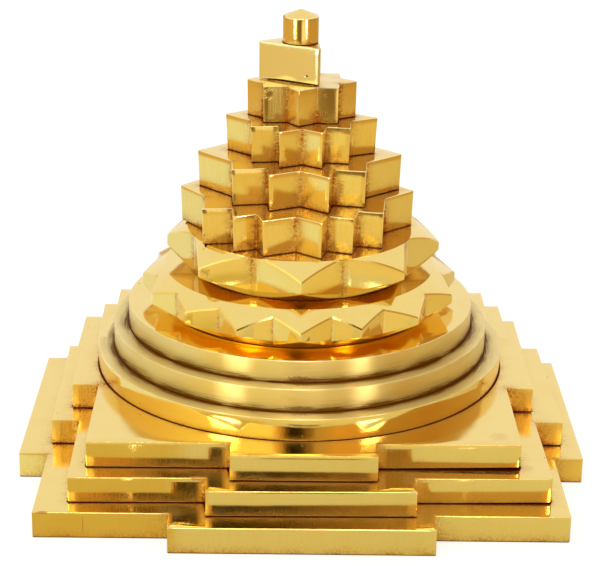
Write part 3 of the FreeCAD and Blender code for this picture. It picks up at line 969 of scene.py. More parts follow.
class Effects:
    """The shader groups that the brass and steel finishes share."""

    def __init__(self) -> None:
        """Build each group once."""
        self.marks = self.make_marks()
        self.patina_and_shade = self.make_patina_and_shade()
        self.pits = self.make_pits()
        self.dark_spot = self.make_dark_spot()

    @staticmethod
    def make_marks() -> bpy.types.NodeTree:
        """Make the group for polish, brush and file marks.

        Returns:
            A group that turns a place in metres into a height and a streak mask.
        """
        graph, given, out = new_group(
            "Tool marks",
            "ShaderNodeTree",
            {
                "Vector": (0.0, 0.0, 0.0),
                "Stretch": (6.0, 6.0, 0.5),
                "Streaks": 0.3,
                "Waves": 0.5,
                "Grain": 0.3,
            },
            {"Height": "NodeSocketFloat", "Streak": "NodeSocketFloat"},
        )
        place = graph.millimetres(given["Vector"])
        streak = graph.noise(graph.vector("MULTIPLY", place, given["Stretch"]), 1.0, 3.0, 0.6)
        waves = graph.noise(place, 0.09, 1.0, 0.4)
        grain = graph.noise(place, 4.0, 2.0, 0.6)
        height = graph.product(streak, given["Streaks"])
        height = graph.math("MULTIPLY_ADD", waves, given["Waves"], height)
        height = graph.math("MULTIPLY_ADD", grain, given["Grain"], height)
        graph.feed(out.inputs["Height"], height)
        graph.feed(out.inputs["Streak"], streak)
        return graph.tree

    @staticmethod
    def make_patina_and_shade() -> bpy.types.NodeTree:
        """Make the group for the brown in seams and corners: residue that polishing leaves, and painted
        shade.

        Returns:
            A group that turns distances to seams and corners into a mask of residue and painted shade, and a
            seam line.
        """
        graph, given, out = new_group(
            "Patina and painted shade",
            "ShaderNodeTree",
            {
                "Vector": (0.0, 0.0, 0.0),
                "Stretch": (1.0, 1.0, 1.0),
                "Seam": 9.0,
                "Corner": 9.0,
                "Seam reach": 1.2,
                "Corner reach": 1.5,
                "Amount": 0.6,
                "Speckle": 1.0,
                "Line width": 0.2,
            },
            {"Mask": "NodeSocketFloat", "Line": "NodeSocketFloat"},
        )
        place = graph.millimetres(given["Vector"])
        clouds = graph.noise(place, 0.16, 2.0, 0.5)
        grain = graph.vector("MULTIPLY", place, given["Stretch"])
        speckle = graph.noise(grain, 1.6, 3.0, 0.7)
        fades = []
        for distance, reach in (("Seam", "Seam reach"), ("Corner", "Corner reach")):
            share = graph.math("DIVIDE", given[distance], given[reach])
            fades.append(graph.math("EXPONENT", graph.product(share, -1.0)))
        cloudy = graph.ramp(clouds, 0.3, 0.7, 0.5, 1.4)
        strength = graph.product(graph.plus(*fades), cloudy, given["Amount"])
        spots = graph.minus(graph.ramp(speckle, 0.32, 0.66, 0.25, 1.6), 1.0)
        spots = graph.math("MULTIPLY_ADD", spots, given["Speckle"], 1.0)
        graph.feed(out.inputs["Mask"], graph.clamped(graph.product(strength, spots)))
        # The seam line is a dark joint and painted contact shade; points under the next layer count as on the
        # seam, so it paints them black.
        outer, inner = (graph.product(given["Line width"], share) for share in (1.3, 0.6))
        graph.feed(out.inputs["Line"], graph.ramp(given["Seam"], outer, inner))
        return graph.tree

    @staticmethod
    def make_pits() -> bpy.types.NodeTree:
        """Make the group for small casting pits.

        Returns:
            A group that turns a place into a mask of pits.
        """
        graph, given, out = new_group(
            "Casting pits",
            "ShaderNodeTree",
            {
                "Vector": (0.0, 0.0, 0.0),
                "Spread": 0.3,
                "Share": 0.1,
                "Size": 0.07,
            },
            {"Mask": "NodeSocketFloat"},
        )
        place = graph.millimetres(given["Vector"])
        cells = graph.node("ShaderNodeTexVoronoi", {}, {"Vector": place, "Scale": given["Spread"]})
        chosen = graph.node("ShaderNodeSeparateColor", {}, {"Color": cells.outputs["Color"]}).outputs[0]
        chosen = graph.math("LESS_THAN", chosen, given["Share"])
        spot = graph.ramp(cells.outputs["Distance"], given["Size"], graph.product(given["Size"], 0.6))
        graph.feed(out.inputs["Mask"], graph.product(spot, chosen))
        return graph.tree

    @staticmethod
    def make_dark_spot() -> bpy.types.NodeTree:
        """Make the group for one dark spot at a place on the object.

        Returns:
            A group that turns a place into the mask of a ragged spot.
        """
        graph, given, out = new_group(
            "DarkSpot",
            "ShaderNodeTree",
            {
                "Vector": (0.0, 0.0, 0.0),
                "Centre": (0.0, 0.0, 0.0),
                "Reach": (2.0, 2.0, 2.0),
                "Ragged": 0.5,
            },
            {"Mask": "NodeSocketFloat"},
        )
        place = graph.millimetres(given["Vector"])
        offset = graph.vector("DIVIDE", graph.vector("SUBTRACT", place, given["Centre"]), given["Reach"])
        radius = graph.length(offset)
        speckle = graph.minus(graph.noise(place, 2.0, 3.0, 0.7), 0.5)
        edge = graph.math("MULTIPLY_ADD", graph.product(speckle, given["Ragged"]), 2.0, radius)
        graph.feed(out.inputs["Mask"], graph.ramp(edge, 1.0, 0.45))
        return graph.tree


@dataclass(frozen=True)
class DarkSpot:
    """One brown or black spot: its middle and its half sizes in millimetres, and how strong it is."""

    centre: Triple
    reach: Triple
    strength: float = 0.8
    ragged: float = 0.6
    black: bool = False


# The spots that stand out in the photograph, by the height and the side of the object they lie on.
PLATE_STAINS = (
    DarkSpot((-67.6, -32.8, 3.8), (0.9, 2.6, 3.4), 0.9, 0.9),
    DarkSpot((-55.4, -68.2, 3.6), (0.18, 1.0, 3.4), 0.5, 0.2),
    DarkSpot((-65.5, -68.2, 7.0), (2.0, 1.2, 0.35), 0.7, 0.5),
    DarkSpot((-32.5, -67.5, 7.2), (4.0, 3.5, 0.5), 0.35, 0.9),
    DarkSpot((-40.0, -61.0, 14.2), (5.0, 3.0, 0.5), 0.25, 0.9),
    DarkSpot((57.0, -54.5, 14.2), (3.5, 3.0, 0.5), 0.25, 0.9),
    DarkSpot((51.0, -50.5, 21.3), (3.0, 3.0, 0.5), 0.15, 0.9),
    DarkSpot((-26.5, -62.5, 14.3), (3.0, 2.5, 1.2), 0.6, 0.9),
    DarkSpot((27.5, -62.0, 14.3), (3.0, 2.5, 1.2), 0.6, 0.9),
    DarkSpot((0.0, -64.8, 14.1), (18.0, 1.0, 0.4), 0.5, 0.8),
)
BAND_STAIN_AND_PAINTED_REFLECTIONS = (
    # The first two are painted dark reflections at the foot of the high and the middle band, drawn as brown
    # spots.
    DarkSpot((-0.4, -45.9, 34.4), (6.5, 3.0, 1.7), 0.85, 0.5),
    DarkSpot((-0.4, -50.1, 28.0), (6.5, 3.0, 1.6), 0.85, 0.5),
    DarkSpot((3.0, -43.5, 39.9), (0.5, 2.5, 0.4), 0.5, 0.6),
)
PETAL_STAINS = (
    DarkSpot((-26.0, -28.0, 57.2), (1.6, 2.0, 1.6), 0.5, 0.9),
)
TIER_STAINS = (
    DarkSpot((6.0, -25.8, 66.2), (1.6, 3.0, 3.4), 0.65, 0.9),
    DarkSpot((16.4, -24.6, 66.8), (1.4, 3.0, 3.6), 0.6, 0.9),
    DarkSpot((-20.5, -24.0, 68.0), (1.4, 3.0, 3.0), 0.6, 0.9),
    DarkSpot((9.2, -17.5, 77.5), (1.6, 3.0, 3.6), 0.5, 0.9),
    DarkSpot((-9.6, -8.5, 100.5), (1.6, 3.5, 1.6), 0.8, 1.2, black=True),
    DarkSpot((11.5, -12.0, 91.6), (3.0, 2.5, 0.9), 0.6, 0.8),
    DarkSpot((5.3, -8.6, 100.4), (0.28, 2.5, 0.5), 1.0, 0.3, black=True),
    DarkSpot((5.6, -8.6, 95.6), (0.28, 2.5, 0.4), 1.0, 0.3, black=True),
)
BLOCK_STAINS = (
    DarkSpot((0.2, -5.6, 105.0), (0.6, 3.0, 0.36), 1.0, 0.4, black=True),
    DarkSpot((3.0, -6.0, 112.4), (1.6, 2.2, 1.4), 0.45, 0.9),
    DarkSpot((4.6, -2.6, 114.0), (1.4, 2.5, 1.0), 0.7, 0.8),
    DarkSpot((-6.0, -1.0, 120.0), (0.5, 2.0, 0.4), 0.8, 0.4),
)


@dataclass(frozen=True)
class BrassFinish:
    """How one brass layer was finished, how it has darkened, and the shade and highlights painted on it."""

    marks: Marks = Marks.BUFFED
    roughness: float = 0.12
    seam_reach: float = 1.0
    corner_reach: float = 1.2
    patina_and_shade: float = 0.6
    pits: float = 0.06
    dark_spots: tuple[DarkSpot, ...] = ()
    colour: Triple = (0.88, 0.65, 0.19)
    warm: Triple = (0.86, 0.57, 0.11)
    # The worn colour brightens edges: partly polishing wear, partly a painted highlight.
    worn: Triple = (0.98, 0.82, 0.42)
    worn_highlight_width: float = 0.34
    worn_highlight_share: float = 0.8
    speckle_stretch: Triple = (1.0, 1.0, 1.0)
    speckle: float = 1.0
    lacquer: float = 0.5
    waves: float = 4.0
    streaks: float = 0.3
    streak_share: float = 0.3
    vertical_blur: float = 0.0
    line_width: float = 0.24
    # Brown is residue and painted shade in seams and corners; black paints the seam line and the shade under
    # the next layer, with pits and black spots.
    brown: Triple = (0.38, 0.11, 0.003)
    black: Triple = (0.09, 0.01, 0.001)
    edge_tint: Triple = (1.0, 0.96, 0.88)

    STRETCHES = {
        Marks.BUFFED: (1.5, 1.5, 1.5),
        Marks.FILED: (2.2, 2.2, 0.12),
        Marks.TURNED: (0.15, 0.15, 9.0),
    }

    def material(self, node: str) -> bpy.types.Material:
        """Make the material of one layer.

        Args:
            node: Name of the layer's CAD node.

        Returns:
            The material.
        """
        material, graph, shader = new_material(f"brass_{node}")
        place = graph.place()
        grain = self.grain_place(graph, place)
        marks = graph.group(EFFECTS.marks, {
            "Vector": grain,
            "Stretch": self.STRETCHES[self.marks],
            "Waves": self.waves,
            "Streaks": self.streaks,
        })
        patina_and_shade = graph.group(EFFECTS.patina_and_shade, {
            "Vector": grain,
            "Seam": graph.attribute("seam_mm"),
            "Corner": graph.attribute("corner_mm"),
            "Seam reach": self.seam_reach,
            "Corner reach": self.corner_reach,
            "Amount": self.patina_and_shade,
            "Stretch": self.speckle_stretch,
            "Speckle": self.speckle,
            "Line width": self.line_width,
        })
        pits = graph.group(EFFECTS.pits, {"Vector": place, "Share": self.pits})
        brown = patina_and_shade.outputs["Mask"]
        dark = graph.larger(patina_and_shade.outputs["Line"], pits.outputs["Mask"])
        # Dark spots are stains, except the painted dark reflections on the bands.
        for dark_spot in self.dark_spots:
            inputs = {"Vector": place, "Centre": dark_spot.centre, "Reach": dark_spot.reach, "Ragged": dark_spot.ragged}
            strength = graph.product(graph.group(EFFECTS.dark_spot, inputs).outputs["Mask"], dark_spot.strength)
            if dark_spot.black:
                dark = graph.larger(dark, strength)
            else:
                brown = graph.larger(brown, strength)
        tone = graph.noise(graph.millimetres(place), 0.12, 2.0, 0.5)
        colour = graph.blend(graph.ramp(tone, 0.45, 0.8, 0, 0.35), (*self.colour, 1), (*self.warm, 1))
        streaky = graph.ramp(marks.outputs["Streak"], 0.48, 0.66, 0, self.streak_share)
        colour = graph.blend(streaky, colour, (*self.warm, 1))
        # Edges get the worn colour, partly polishing wear and partly a painted highlight.
        width = self.worn_highlight_width
        worn_highlight = graph.ramp(graph.attribute("edge_mm"), width, width * 0.35, 0, self.worn_highlight_share)
        colour = graph.blend(worn_highlight, colour, (*self.worn, 1))
        # Brown paints residue and painted shade in seams and corners; black paints the seam line, the shade
        # under the next layer, pits and black spots.
        colour = graph.blend(brown, colour, (*self.brown, 1))
        colour = graph.blend(dark, colour, (*self.black, 1))
        graph.feed(shader.inputs["Base Color"], colour)
        worn = graph.math("MULTIPLY_ADD", marks.outputs["Streak"], 0.05, self.roughness - 0.025)
        worn = graph.math("MULTIPLY_ADD", brown, 0.3, worn)
        graph.feed(shader.inputs["Roughness"], graph.math("MULTIPLY_ADD", dark, 0.4, worn))
        # The residue and the painted shade also take away metal and coat.
        soil_and_shade = graph.larger(dark, graph.product(brown, 0.4))
        graph.feed(shader.inputs["Metallic"], graph.minus(1.0, soil_and_shade))
        soiled_and_shaded = graph.larger(dark, graph.product(brown, 0.8))
        lacquer = graph.math("MULTIPLY_ADD", soiled_and_shaded, -self.lacquer, self.lacquer)
        graph.feed(shader.inputs["Coat Weight"], lacquer)
        set_constants(shader, {
            "Specular IOR Level": 0.0, "Specular Tint": (*self.edge_tint, 1), "Coat Roughness": 0.12,
        })
        if self.vertical_blur:
            set_constants(shader, {"Anisotropic": self.vertical_blur, "Anisotropic Rotation": 0.25})
            tangent = graph.node("ShaderNodeTangent", {"direction_type": "RADIAL", "axis": "Z"})
            graph.feed(shader.inputs["Tangent"], tangent.outputs["Tangent"])
        height = graph.math("MULTIPLY_ADD", dark, -2.0, marks.outputs["Height"])
        height = graph.math("MULTIPLY_ADD", brown, 0.3, height)
        graph.feed(shader.inputs["Normal"], graph.bump(height))
        return material

    def grain_place(self, graph: Graph, place: Socket) -> Socket:
        """Bend the place round the axis of a turned layer, so that its marks run round it.

        Args:
            graph: The material's tree.
            place: The place in the object's own coordinates.

        Returns:
            The place that the marks and the residue follow.
        """
        if self.marks is not Marks.TURNED:
            return place
        x, y, z = graph.split(place)
        plan = graph.join(x, y)
        round_axis = graph.vector("MULTIPLY", graph.vector("NORMALIZE", plan), (0.02, 0.02, 0.0))
        return graph.vector("ADD", round_axis, graph.join(z=graph.plus(graph.length(plan), z)))


@dataclass(frozen=True)
class SteelFinish:
    """Zinc-plated steel of the rod, washer and nut."""

    colour: Triple = (0.6, 0.6, 0.57)
    dull: Triple = (0.38, 0.38, 0.36)
    roughness: float = 0.32

    def material(self) -> bpy.types.Material:
        """Make the material of the steel hardware."""
        material, graph, shader = new_material("zinc_plated_steel")
        marks = graph.group(
            EFFECTS.marks, {"Vector": graph.place(), "Stretch": (3.0, 3.0, 3.0), "Grain": 1.0}
        )
        streak = marks.outputs["Streak"]
        colour = graph.blend(graph.ramp(streak, 0.3, 0.7), (*self.colour, 1), (*self.dull, 1))
        graph.feed(shader.inputs["Base Color"], colour)
        graph.feed(shader.inputs["Roughness"], graph.math("MULTIPLY_ADD", streak, 0.15, self.roughness))
        set_constants(shader, {"Metallic": 1.0})
        graph.feed(shader.inputs["Normal"], graph.bump(marks.outputs["Height"]))
        return material


def grown(name: str, start: Mesh, tree: bpy.types.NodeTree, values: dict) -> Mesh:
    """Run a Geometry Nodes tree on a mesh and keep the result as a plain mesh.

    Args:
        name: Name of the new mesh.
        start: The mesh that the tree works on.
        tree: The tree.
        values: Values of its inputs by name.

    Returns:
        The new mesh.
    """
    helper = placed(f"{name}_start", start)
    modifier = helper.modifiers.new("Grow", "NODES")
    modifier.node_group = tree
    for item in tree.interface.items_tree:
        if item.item_type == "SOCKET" and item.in_out == "INPUT" and item.name in values:
            modifier[item.identifier] = values[item.name]
    helper.update_tag()
    graph = bpy.context.evaluated_depsgraph_get()
    mesh = bpy.data.meshes.new_from_object(helper.evaluated_get(graph))
    mesh.name = name
    helper.modifiers.remove(modifier)
    bpy.data.objects.remove(helper)
    return mesh


def finish_tree(graph: Graph, given: dict, out: bpy.types.Node, grid: object, place: object) -> None:
    """End a tree that bends a grid into a closed surface.

    Args:
        graph: The tree's graph.
        given: The tree's own inputs by name.
        out: The tree's output node.
        grid: The grid's mesh.
        place: Where each of its points goes.
    """
    last = graph.node("GeometryNodeSetPosition", {}, {"Geometry": grid, "Position": place}).outputs[0]
    for kind, inputs in (
        ("GeometryNodeMergeByDistance", {"Distance": MERGE_DISTANCE * MM}),
        ("GeometryNodeRealizeInstances", {}),
        ("GeometryNodeSetMaterial", {"Material": given["Material"]}),
    ):
        last = graph.node(kind, {}, {"Geometry": last, **inputs}).outputs[0]
    graph.feed(out.inputs["Geometry"], last)


class PetalTree:
    """The Geometry Nodes tree that raises a petal disc from the outline of its petals."""

    UNDER_SHARES = (0.0, 0.35, 0.7, 1.0)
    FOOT_SHARE = 0.12
    TOP_SHARES = (1.0, 0.85, 0.65, 0.45, 0.28, 0.14, 0.06, 0.0)

    def __init__(self) -> None:
        """Build the tree."""
        self.graph, self.given, out = new_group(
            "Petal disc",
            "GeometryNodeTree",
            {
                "Outline": "NodeSocketGeometry",
                "Corners": 32,
                "Cuts": 8,
                "Seat radius": 0.03,
                "Tip radius": 0.04,
                "Valley radius": 0.035,
                "Neck": 0.001,
                "Lean": 0.001,
                "Flat radius": 0.03,
                "Height": 0.01,
                "Under slope": 0.6,
                "Top slope": 0.6,
                "Bulge": 0.0,
                "Softness": 0.0,
                "Edge": 0.0003,
                "Centre": (0.0, 0.0, 0.0),
                "Material": "NodeSocketMaterial",
            },
            {"Geometry": "NodeSocketGeometry"},
        )
        graph, given = self.graph, self.given
        outline, radius = self.column_point()
        rows = self.rows(radius)
        grid = self.grid
        graph.feed(grid.inputs["Vertices Y"], len(rows))
        graph.feed(grid.inputs["Size Y"], float(len(rows) - 1))
        row = graph.plus(self.grid_place()[1], (len(rows) - 1) / 2)
        reach = self.choose(row, [reach for reach, _ in rows])
        level = self.choose(row, [level for _, level in rows])
        direction = graph.vector("NORMALIZE", outline)
        across = graph.node(
            "ShaderNodeVectorMath", {"operation": "SCALE"}, {0: direction, "Scale": reach}
        ).outputs["Vector"]
        place = graph.vector("ADD", graph.vector("ADD", across, graph.join(z=level)), given["Centre"])
        finish_tree(graph, given, out, grid.outputs["Mesh"], place)

    def grid_place(self) -> list[Socket]:
        """Return the coordinates of the grid's points."""
        return self.graph.split(self.graph.node("GeometryNodeInputPosition").outputs[0])

    def column_point(self) -> tuple[Socket, Socket]:
        """Find the outline's point for each column of the grid.

        Returns:
            The point, and its distance from the disc's middle.
        """
        graph, given = self.graph, self.given
        columns = graph.product(given["Corners"], given["Cuts"])
        self.grid = graph.node("GeometryNodeMeshGrid", {}, {"Size X": columns})
        graph.feed(self.grid.inputs["Vertices X"], graph.plus(columns, 1.0))
        column = graph.plus(self.grid_place()[0], graph.math("DIVIDE", columns, 2.0))
        column = graph.math("ROUND", column)
        along = graph.math("DIVIDE", graph.plus(column, 0.001), given["Cuts"])
        corner = graph.math("FLOOR", along)
        share = graph.math("DIVIDE", graph.math("MODULO", column, given["Cuts"]), given["Cuts"])
        first = self.outline_point(graph.math("MODULO", corner, given["Corners"]))
        following = graph.math("MODULO", graph.plus(corner, 1.0), given["Corners"])
        second = self.outline_point(following)
        mix = graph.node("ShaderNodeMix", {"data_type": "VECTOR"})
        graph.feed(mix.inputs["Factor"], share)
        ends = [socket for socket in mix.inputs if socket.type == "VECTOR" and socket.name in ("A", "B")]
        graph.feed(ends[0], first)
        graph.feed(ends[1], second)
        point = [socket for socket in mix.outputs if socket.type == "VECTOR"][0]
        return point, graph.length(point)

    def outline_point(self, number: Socket) -> Socket:
        """Read the outline's corner with a number."""
        graph = self.graph
        settings = {"data_type": "FLOAT_VECTOR", "domain": "POINT"}
        sample = graph.node("GeometryNodeSampleIndex", settings, {"Geometry": self.given["Outline"]})
        position = graph.node("GeometryNodeInputPosition").outputs[0]
        values = [socket for socket in sample.inputs if socket.name == "Value" and socket.enabled]
        graph.feed(values[0], position)
        graph.feed(sample.inputs["Index"], number)
        return [socket for socket in sample.outputs if socket.enabled][0]

    def under(self, reach: Socket) -> Socket:
        """Return the height of the underside at a distance from the middle."""
        graph, given = self.graph, self.given
        start = graph.plus(given["Seat radius"], given["Neck"])
        out = graph.larger(graph.minus(reach, start), 0.0)
        return graph.math("MULTIPLY_ADD", out, given["Under slope"], given["Neck"])

    def petal_depth(self) -> Socket:
        """Return how far the valleys lie behind the tips."""
        return self.graph.minus(self.given["Tip radius"], self.given["Valley radius"])

    def top(self, reach: Socket) -> Socket:
        """Return the height of the top at a distance from the middle."""
        graph, given = self.graph, self.given
        out = graph.minus(reach, given["Flat radius"])
        depth = graph.minus(given["Tip radius"], given["Flat radius"])
        share = graph.larger(graph.math("DIVIDE", out, depth), 0.0)
        bend = graph.math("MULTIPLY_ADD", graph.minus(share, 1.0), given["Bulge"], 1.0)
        cone = graph.minus(given["Height"], graph.product(out, given["Top slope"], bend))
        return graph.math("SMOOTH_MIN", cone, given["Height"], given["Softness"])

    def rows(self, radius: Socket) -> list[tuple[object, object]]:
        """List the rows of the disc's section.

        Args:
            radius: The outline's distance from the middle.

        Returns:
            For each row its distance from the middle and its height.
        """
        graph, given = self.graph, self.given
        seat, flat, edge = given["Seat radius"], given["Flat radius"], given["Edge"]
        rim = graph.minus(radius, edge)
        depth = graph.math("DIVIDE", graph.minus(given["Tip radius"], radius), self.petal_depth())
        lean = graph.product(graph.clamped(depth), given["Lean"])
        foot = graph.minus(radius, lean)
        foot_rim = graph.minus(foot, edge)
        rows = [(0.0, 0.0), (graph.product(seat, 0.7), 0.0), (seat, 0.0)]
        start = graph.plus(seat, given["Neck"])
        for share in self.UNDER_SHARES:
            reach = graph.math("MULTIPLY_ADD", graph.minus(foot_rim, start), share, start)
            rows.append((reach, self.under(reach)))
        low = graph.plus(self.under(foot), edge)
        high = graph.minus(self.top(radius), edge)
        rows.append((foot, low))
        middle = graph.math("MULTIPLY_ADD", graph.minus(high, low), self.FOOT_SHARE, low)
        rows.append((radius, middle))
        rows.append((radius, high))
        for share in self.TOP_SHARES:
            reach = graph.math("MULTIPLY_ADD", graph.minus(rim, flat), share, flat)
            rows.append((reach, self.top(reach)))
        for step in np.arange(0.7, 13.0, 0.7).tolist():
            reach = graph.minus(flat, step * MM)
            rows.append((reach, self.top(reach)))
        rows.append((0.0, given["Height"]))
        return rows

    def choose(self, row: Socket, values: list) -> Socket:
        """Pick one of several values by the number of the row."""
        switch = self.graph.node("GeometryNodeIndexSwitch", {"data_type": "FLOAT"})
        while len(switch.index_switch_items) < len(values):
            switch.index_switch_items.new()
        self.graph.feed(switch.inputs["Index"], self.graph.math("ROUND", row))
        for number, value in enumerate(values):
            self.graph.feed(switch.inputs[number + 1], value)
        return switch.outputs[0]


@dataclass
class PetalDisc(Layer):
    """A disc whose rim was filed into pointed petals between a cone above and a cone below."""

    tip: float = 0.0
    valley: float = 0.0
    flat: float = 0.0
    seat: float = 0.0
    tip_low: float = 0.0
    tip_high: float = 0.0
    petal_shares: list = field(default_factory=list)
    length_shares: list = field(default_factory=list)
    kerf: float = 0.25
    neck: float = 1.0
    foot_lean: float = 1.0
    softness: float = 0.0
    bulge: float = 0.0
    cuts: int = 8

    def petal_corners(self) -> tuple[np.ndarray, np.ndarray]:
        """Return the outline's corners in the disc's own plan, and which of them are valleys."""
        tips, valleys = self.petal_shares
        count = len(tips)
        points, hollow = [], []
        for petal in range(count):
            tip_angle = FULL_TURN / count * (petal + tips[petal])
            radius = self.tip * (1 + self.length_shares[petal])
            points.append(radius * np.array([math.sin(tip_angle), -math.cos(tip_angle)]))
            hollow.append(False)
            angle = FULL_TURN / count * (petal + 0.5 + valleys[petal])
            outward = np.array([math.sin(angle), -math.cos(angle)])
            beside = np.array([math.cos(angle), math.sin(angle)])
            for side in (-self.kerf, self.kerf):
                points.append(self.valley * outward + side * beside)
                hollow.append(True)
        return np.array(points), np.array(hollow)

    def foot_plan(self) -> np.ndarray:
        """Return the circle that the disc stands on."""
        return self.place.to_world(circle_plan(self.seat, 192))

    def is_other(self, face: bpy.types.MeshPolygon) -> bool:
        """Tell whether a face belongs to the underside, which was not polished; its brass is rougher, darker
        as painted shade under the eight-petal disc and paler under the sixteen-petal disc.
        """
        return face.normal.z < -0.15 and face.center.z > (self.low + 0.1) * MM

    def hollows(self) -> np.ndarray:
        """Return the plan points of the valleys."""
        points, hollow = self.petal_corners()
        return self.place.to_world(points[hollow].reshape(-1, 2, 2)[:, 0])

    def worn_and_highlight_edges(self) -> np.ndarray:
        """Return points along the petals' upper edges and down the arrises at their tips."""
        corners, hollow = self.petal_corners()
        rim = spaced(self.place.to_world(corners), WORN_HIGHLIGHT_SPACING)
        radius = np.linalg.norm(rim - self.place.centre, axis=1)
        share = np.maximum(radius - self.flat, 0) / (self.tip - self.flat)
        drop = (self.high - self.low - self.tip_high) * share * (1 - self.bulge * (1 - share))
        points = [np.column_stack([rim, self.high - drop])]
        tips = self.place.to_world(corners[~hollow])
        for share in np.linspace(0, 1, 9):
            level = self.low + self.tip_low + share * (self.tip_high - self.tip_low)
            points.append(np.column_stack([tips, np.full(len(tips), level)]))
        kerfs = self.place.to_world(corners[hollow].reshape(-1, 2, 2)[:, 1])
        for level in np.linspace(self.low, self.high, 24):
            points.append(np.column_stack([kerfs, np.full(len(kerfs), level)]))
        return np.concatenate(points)

    def make_mesh(self) -> Mesh:
        """Raise the disc from its outline with the petal tree."""
        corners, _ = self.petal_corners()
        turned = Place(turn=self.place.turn).to_world(corners) * MM
        start = bpy.data.meshes.new(f"{self.node}_outline")
        start.from_pydata([(x, y, 0.0) for x, y in turned], [], [])
        height = self.high - self.low
        values = {
            "Corners": len(corners),
            "Cuts": self.cuts,
            "Seat radius": self.seat * MM,
            "Tip radius": self.tip * MM,
            "Valley radius": self.valley * MM,
            "Neck": self.neck * MM,
            "Lean": self.foot_lean * MM,
            "Flat radius": self.flat * MM,
            "Height": height * MM,
            "Under slope": (self.tip_low - self.neck) / (self.tip - self.seat - self.neck),
            "Top slope": (height - self.tip_high) / (self.tip - self.flat),
            "Bulge": self.bulge,
            "Softness": self.softness * MM,
            "Edge": self.edge * MM,
            "Centre": (self.place.x * MM, self.place.y * MM, self.low * MM),
        }
        mesh = grown(self.node, start, PETAL_TREE.graph.tree, values)
        return facing_out(mesh)


class ThreadTree:
    """The Geometry Nodes tree that winds a screw thread round an upright rod."""

    COLUMNS = 24
    ROWS_PER_TURN = 8

    def __init__(self) -> None:
        """Build the tree."""
        graph, given, out = new_group(
            "Threaded rod",
            "GeometryNodeTree",
            {
                "Start": "NodeSocketGeometry",
                "Radius": 0.0025,
                "Depth": 0.0004,
                "Pitch": 0.0008,
                "Low": 0.0,
                "High": 0.1,
                "Centre": (0.0, 0.0, 0.0),
                "Material": "NodeSocketMaterial",
            },
            {"Geometry": "NodeSocketGeometry"},
        )
        self.graph = graph
        length = graph.minus(given["High"], given["Low"])
        turns = graph.math("DIVIDE", length, given["Pitch"])
        rows = graph.math("ROUND", graph.product(turns, float(self.ROWS_PER_TURN)))
        last = graph.plus(rows, 2.0)
        grid = graph.node("GeometryNodeMeshGrid", {}, {"Size X": FULL_TURN, "Vertices X": self.COLUMNS + 1})
        graph.feed(grid.inputs["Size Y"], last)
        graph.feed(grid.inputs["Vertices Y"], graph.plus(last, 1.0))
        angle, upward, _ = graph.split(graph.node("GeometryNodeInputPosition").outputs[0])
        row = graph.math("ROUND", graph.plus(upward, graph.math("DIVIDE", last, 2.0)))
        share = graph.clamped(graph.math("DIVIDE", graph.minus(row, 1.0), rows))
        along = graph.product(share, turns)
        wave = graph.math("COSINE", graph.minus(graph.product(along, FULL_TURN), angle))
        dip = graph.product(graph.math("MULTIPLY_ADD", wave, 0.5, 0.5), given["Depth"])
        ends = graph.math("MINIMUM", along, graph.minus(turns, along))
        taper = graph.product(graph.ramp(ends, 1.0, 0.0), given["Depth"])
        radius = graph.minus(given["Radius"], graph.larger(dip, taper))
        above_first = graph.math("GREATER_THAN", row, 0.5)
        below_last = graph.math("LESS_THAN", row, graph.minus(last, 0.5))
        radius = graph.product(radius, graph.product(above_first, below_last))
        level = graph.math("MULTIPLY_ADD", share, length, given["Low"])
        x, y = (graph.product(graph.math(turn, angle), radius) for turn in ("COSINE", "SINE"))
        place = graph.vector("ADD", graph.join(x, y, level), given["Centre"])
        finish_tree(graph, given, out, grid.outputs["Mesh"], place)


@dataclass
class TieRod:
    """The threaded steel rod that clamps the stack, in millimetres."""

    node: str = "tie_rod"
    diameter: float = 5.0
    thread_depth: float = 0.42
    pitch: float = 0.8

    def build(self, steel: bpy.types.Material) -> bpy.types.Object:
        """Wind the rod's thread and put it in the CAD rod's place.

        Args:
            steel: The steel of the rod.

        Returns:
            The piece, which stands for the rod's CAD node.
        """
        low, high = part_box(self.node)
        start = bpy.data.meshes.new(f"{self.node}_start")
        values = {
            "Radius": self.diameter / 2 * MM,
            "Depth": self.thread_depth * MM,
            "Pitch": self.pitch * MM,
            "Low": low.z,
            "High": high.z,
            "Centre": ((low.x + high.x) / 2, (low.y + high.y) / 2, 0.0),
        }
        mesh = facing_out(grown(f"{self.node}_thread", start, THREAD_TREE.graph.tree, values))
        soften(mesh)
        mesh.materials.clear()
        mesh.materials.append(steel)
        return hand_over(f"{self.node}_thread", mesh, self.node)


def facing_out(mesh: Mesh) -> Mesh:
    """Turn all faces of a closed mesh outwards."""
    work = bmesh.new()
    work.from_mesh(mesh)
    bmesh.ops.remove_doubles(work, verts=work.verts, dist=MERGE_DISTANCE / 2 * MM)
    bmesh.ops.recalc_face_normals(work, faces=work.faces)
    work.to_mesh(mesh)
    work.free()
    return mesh


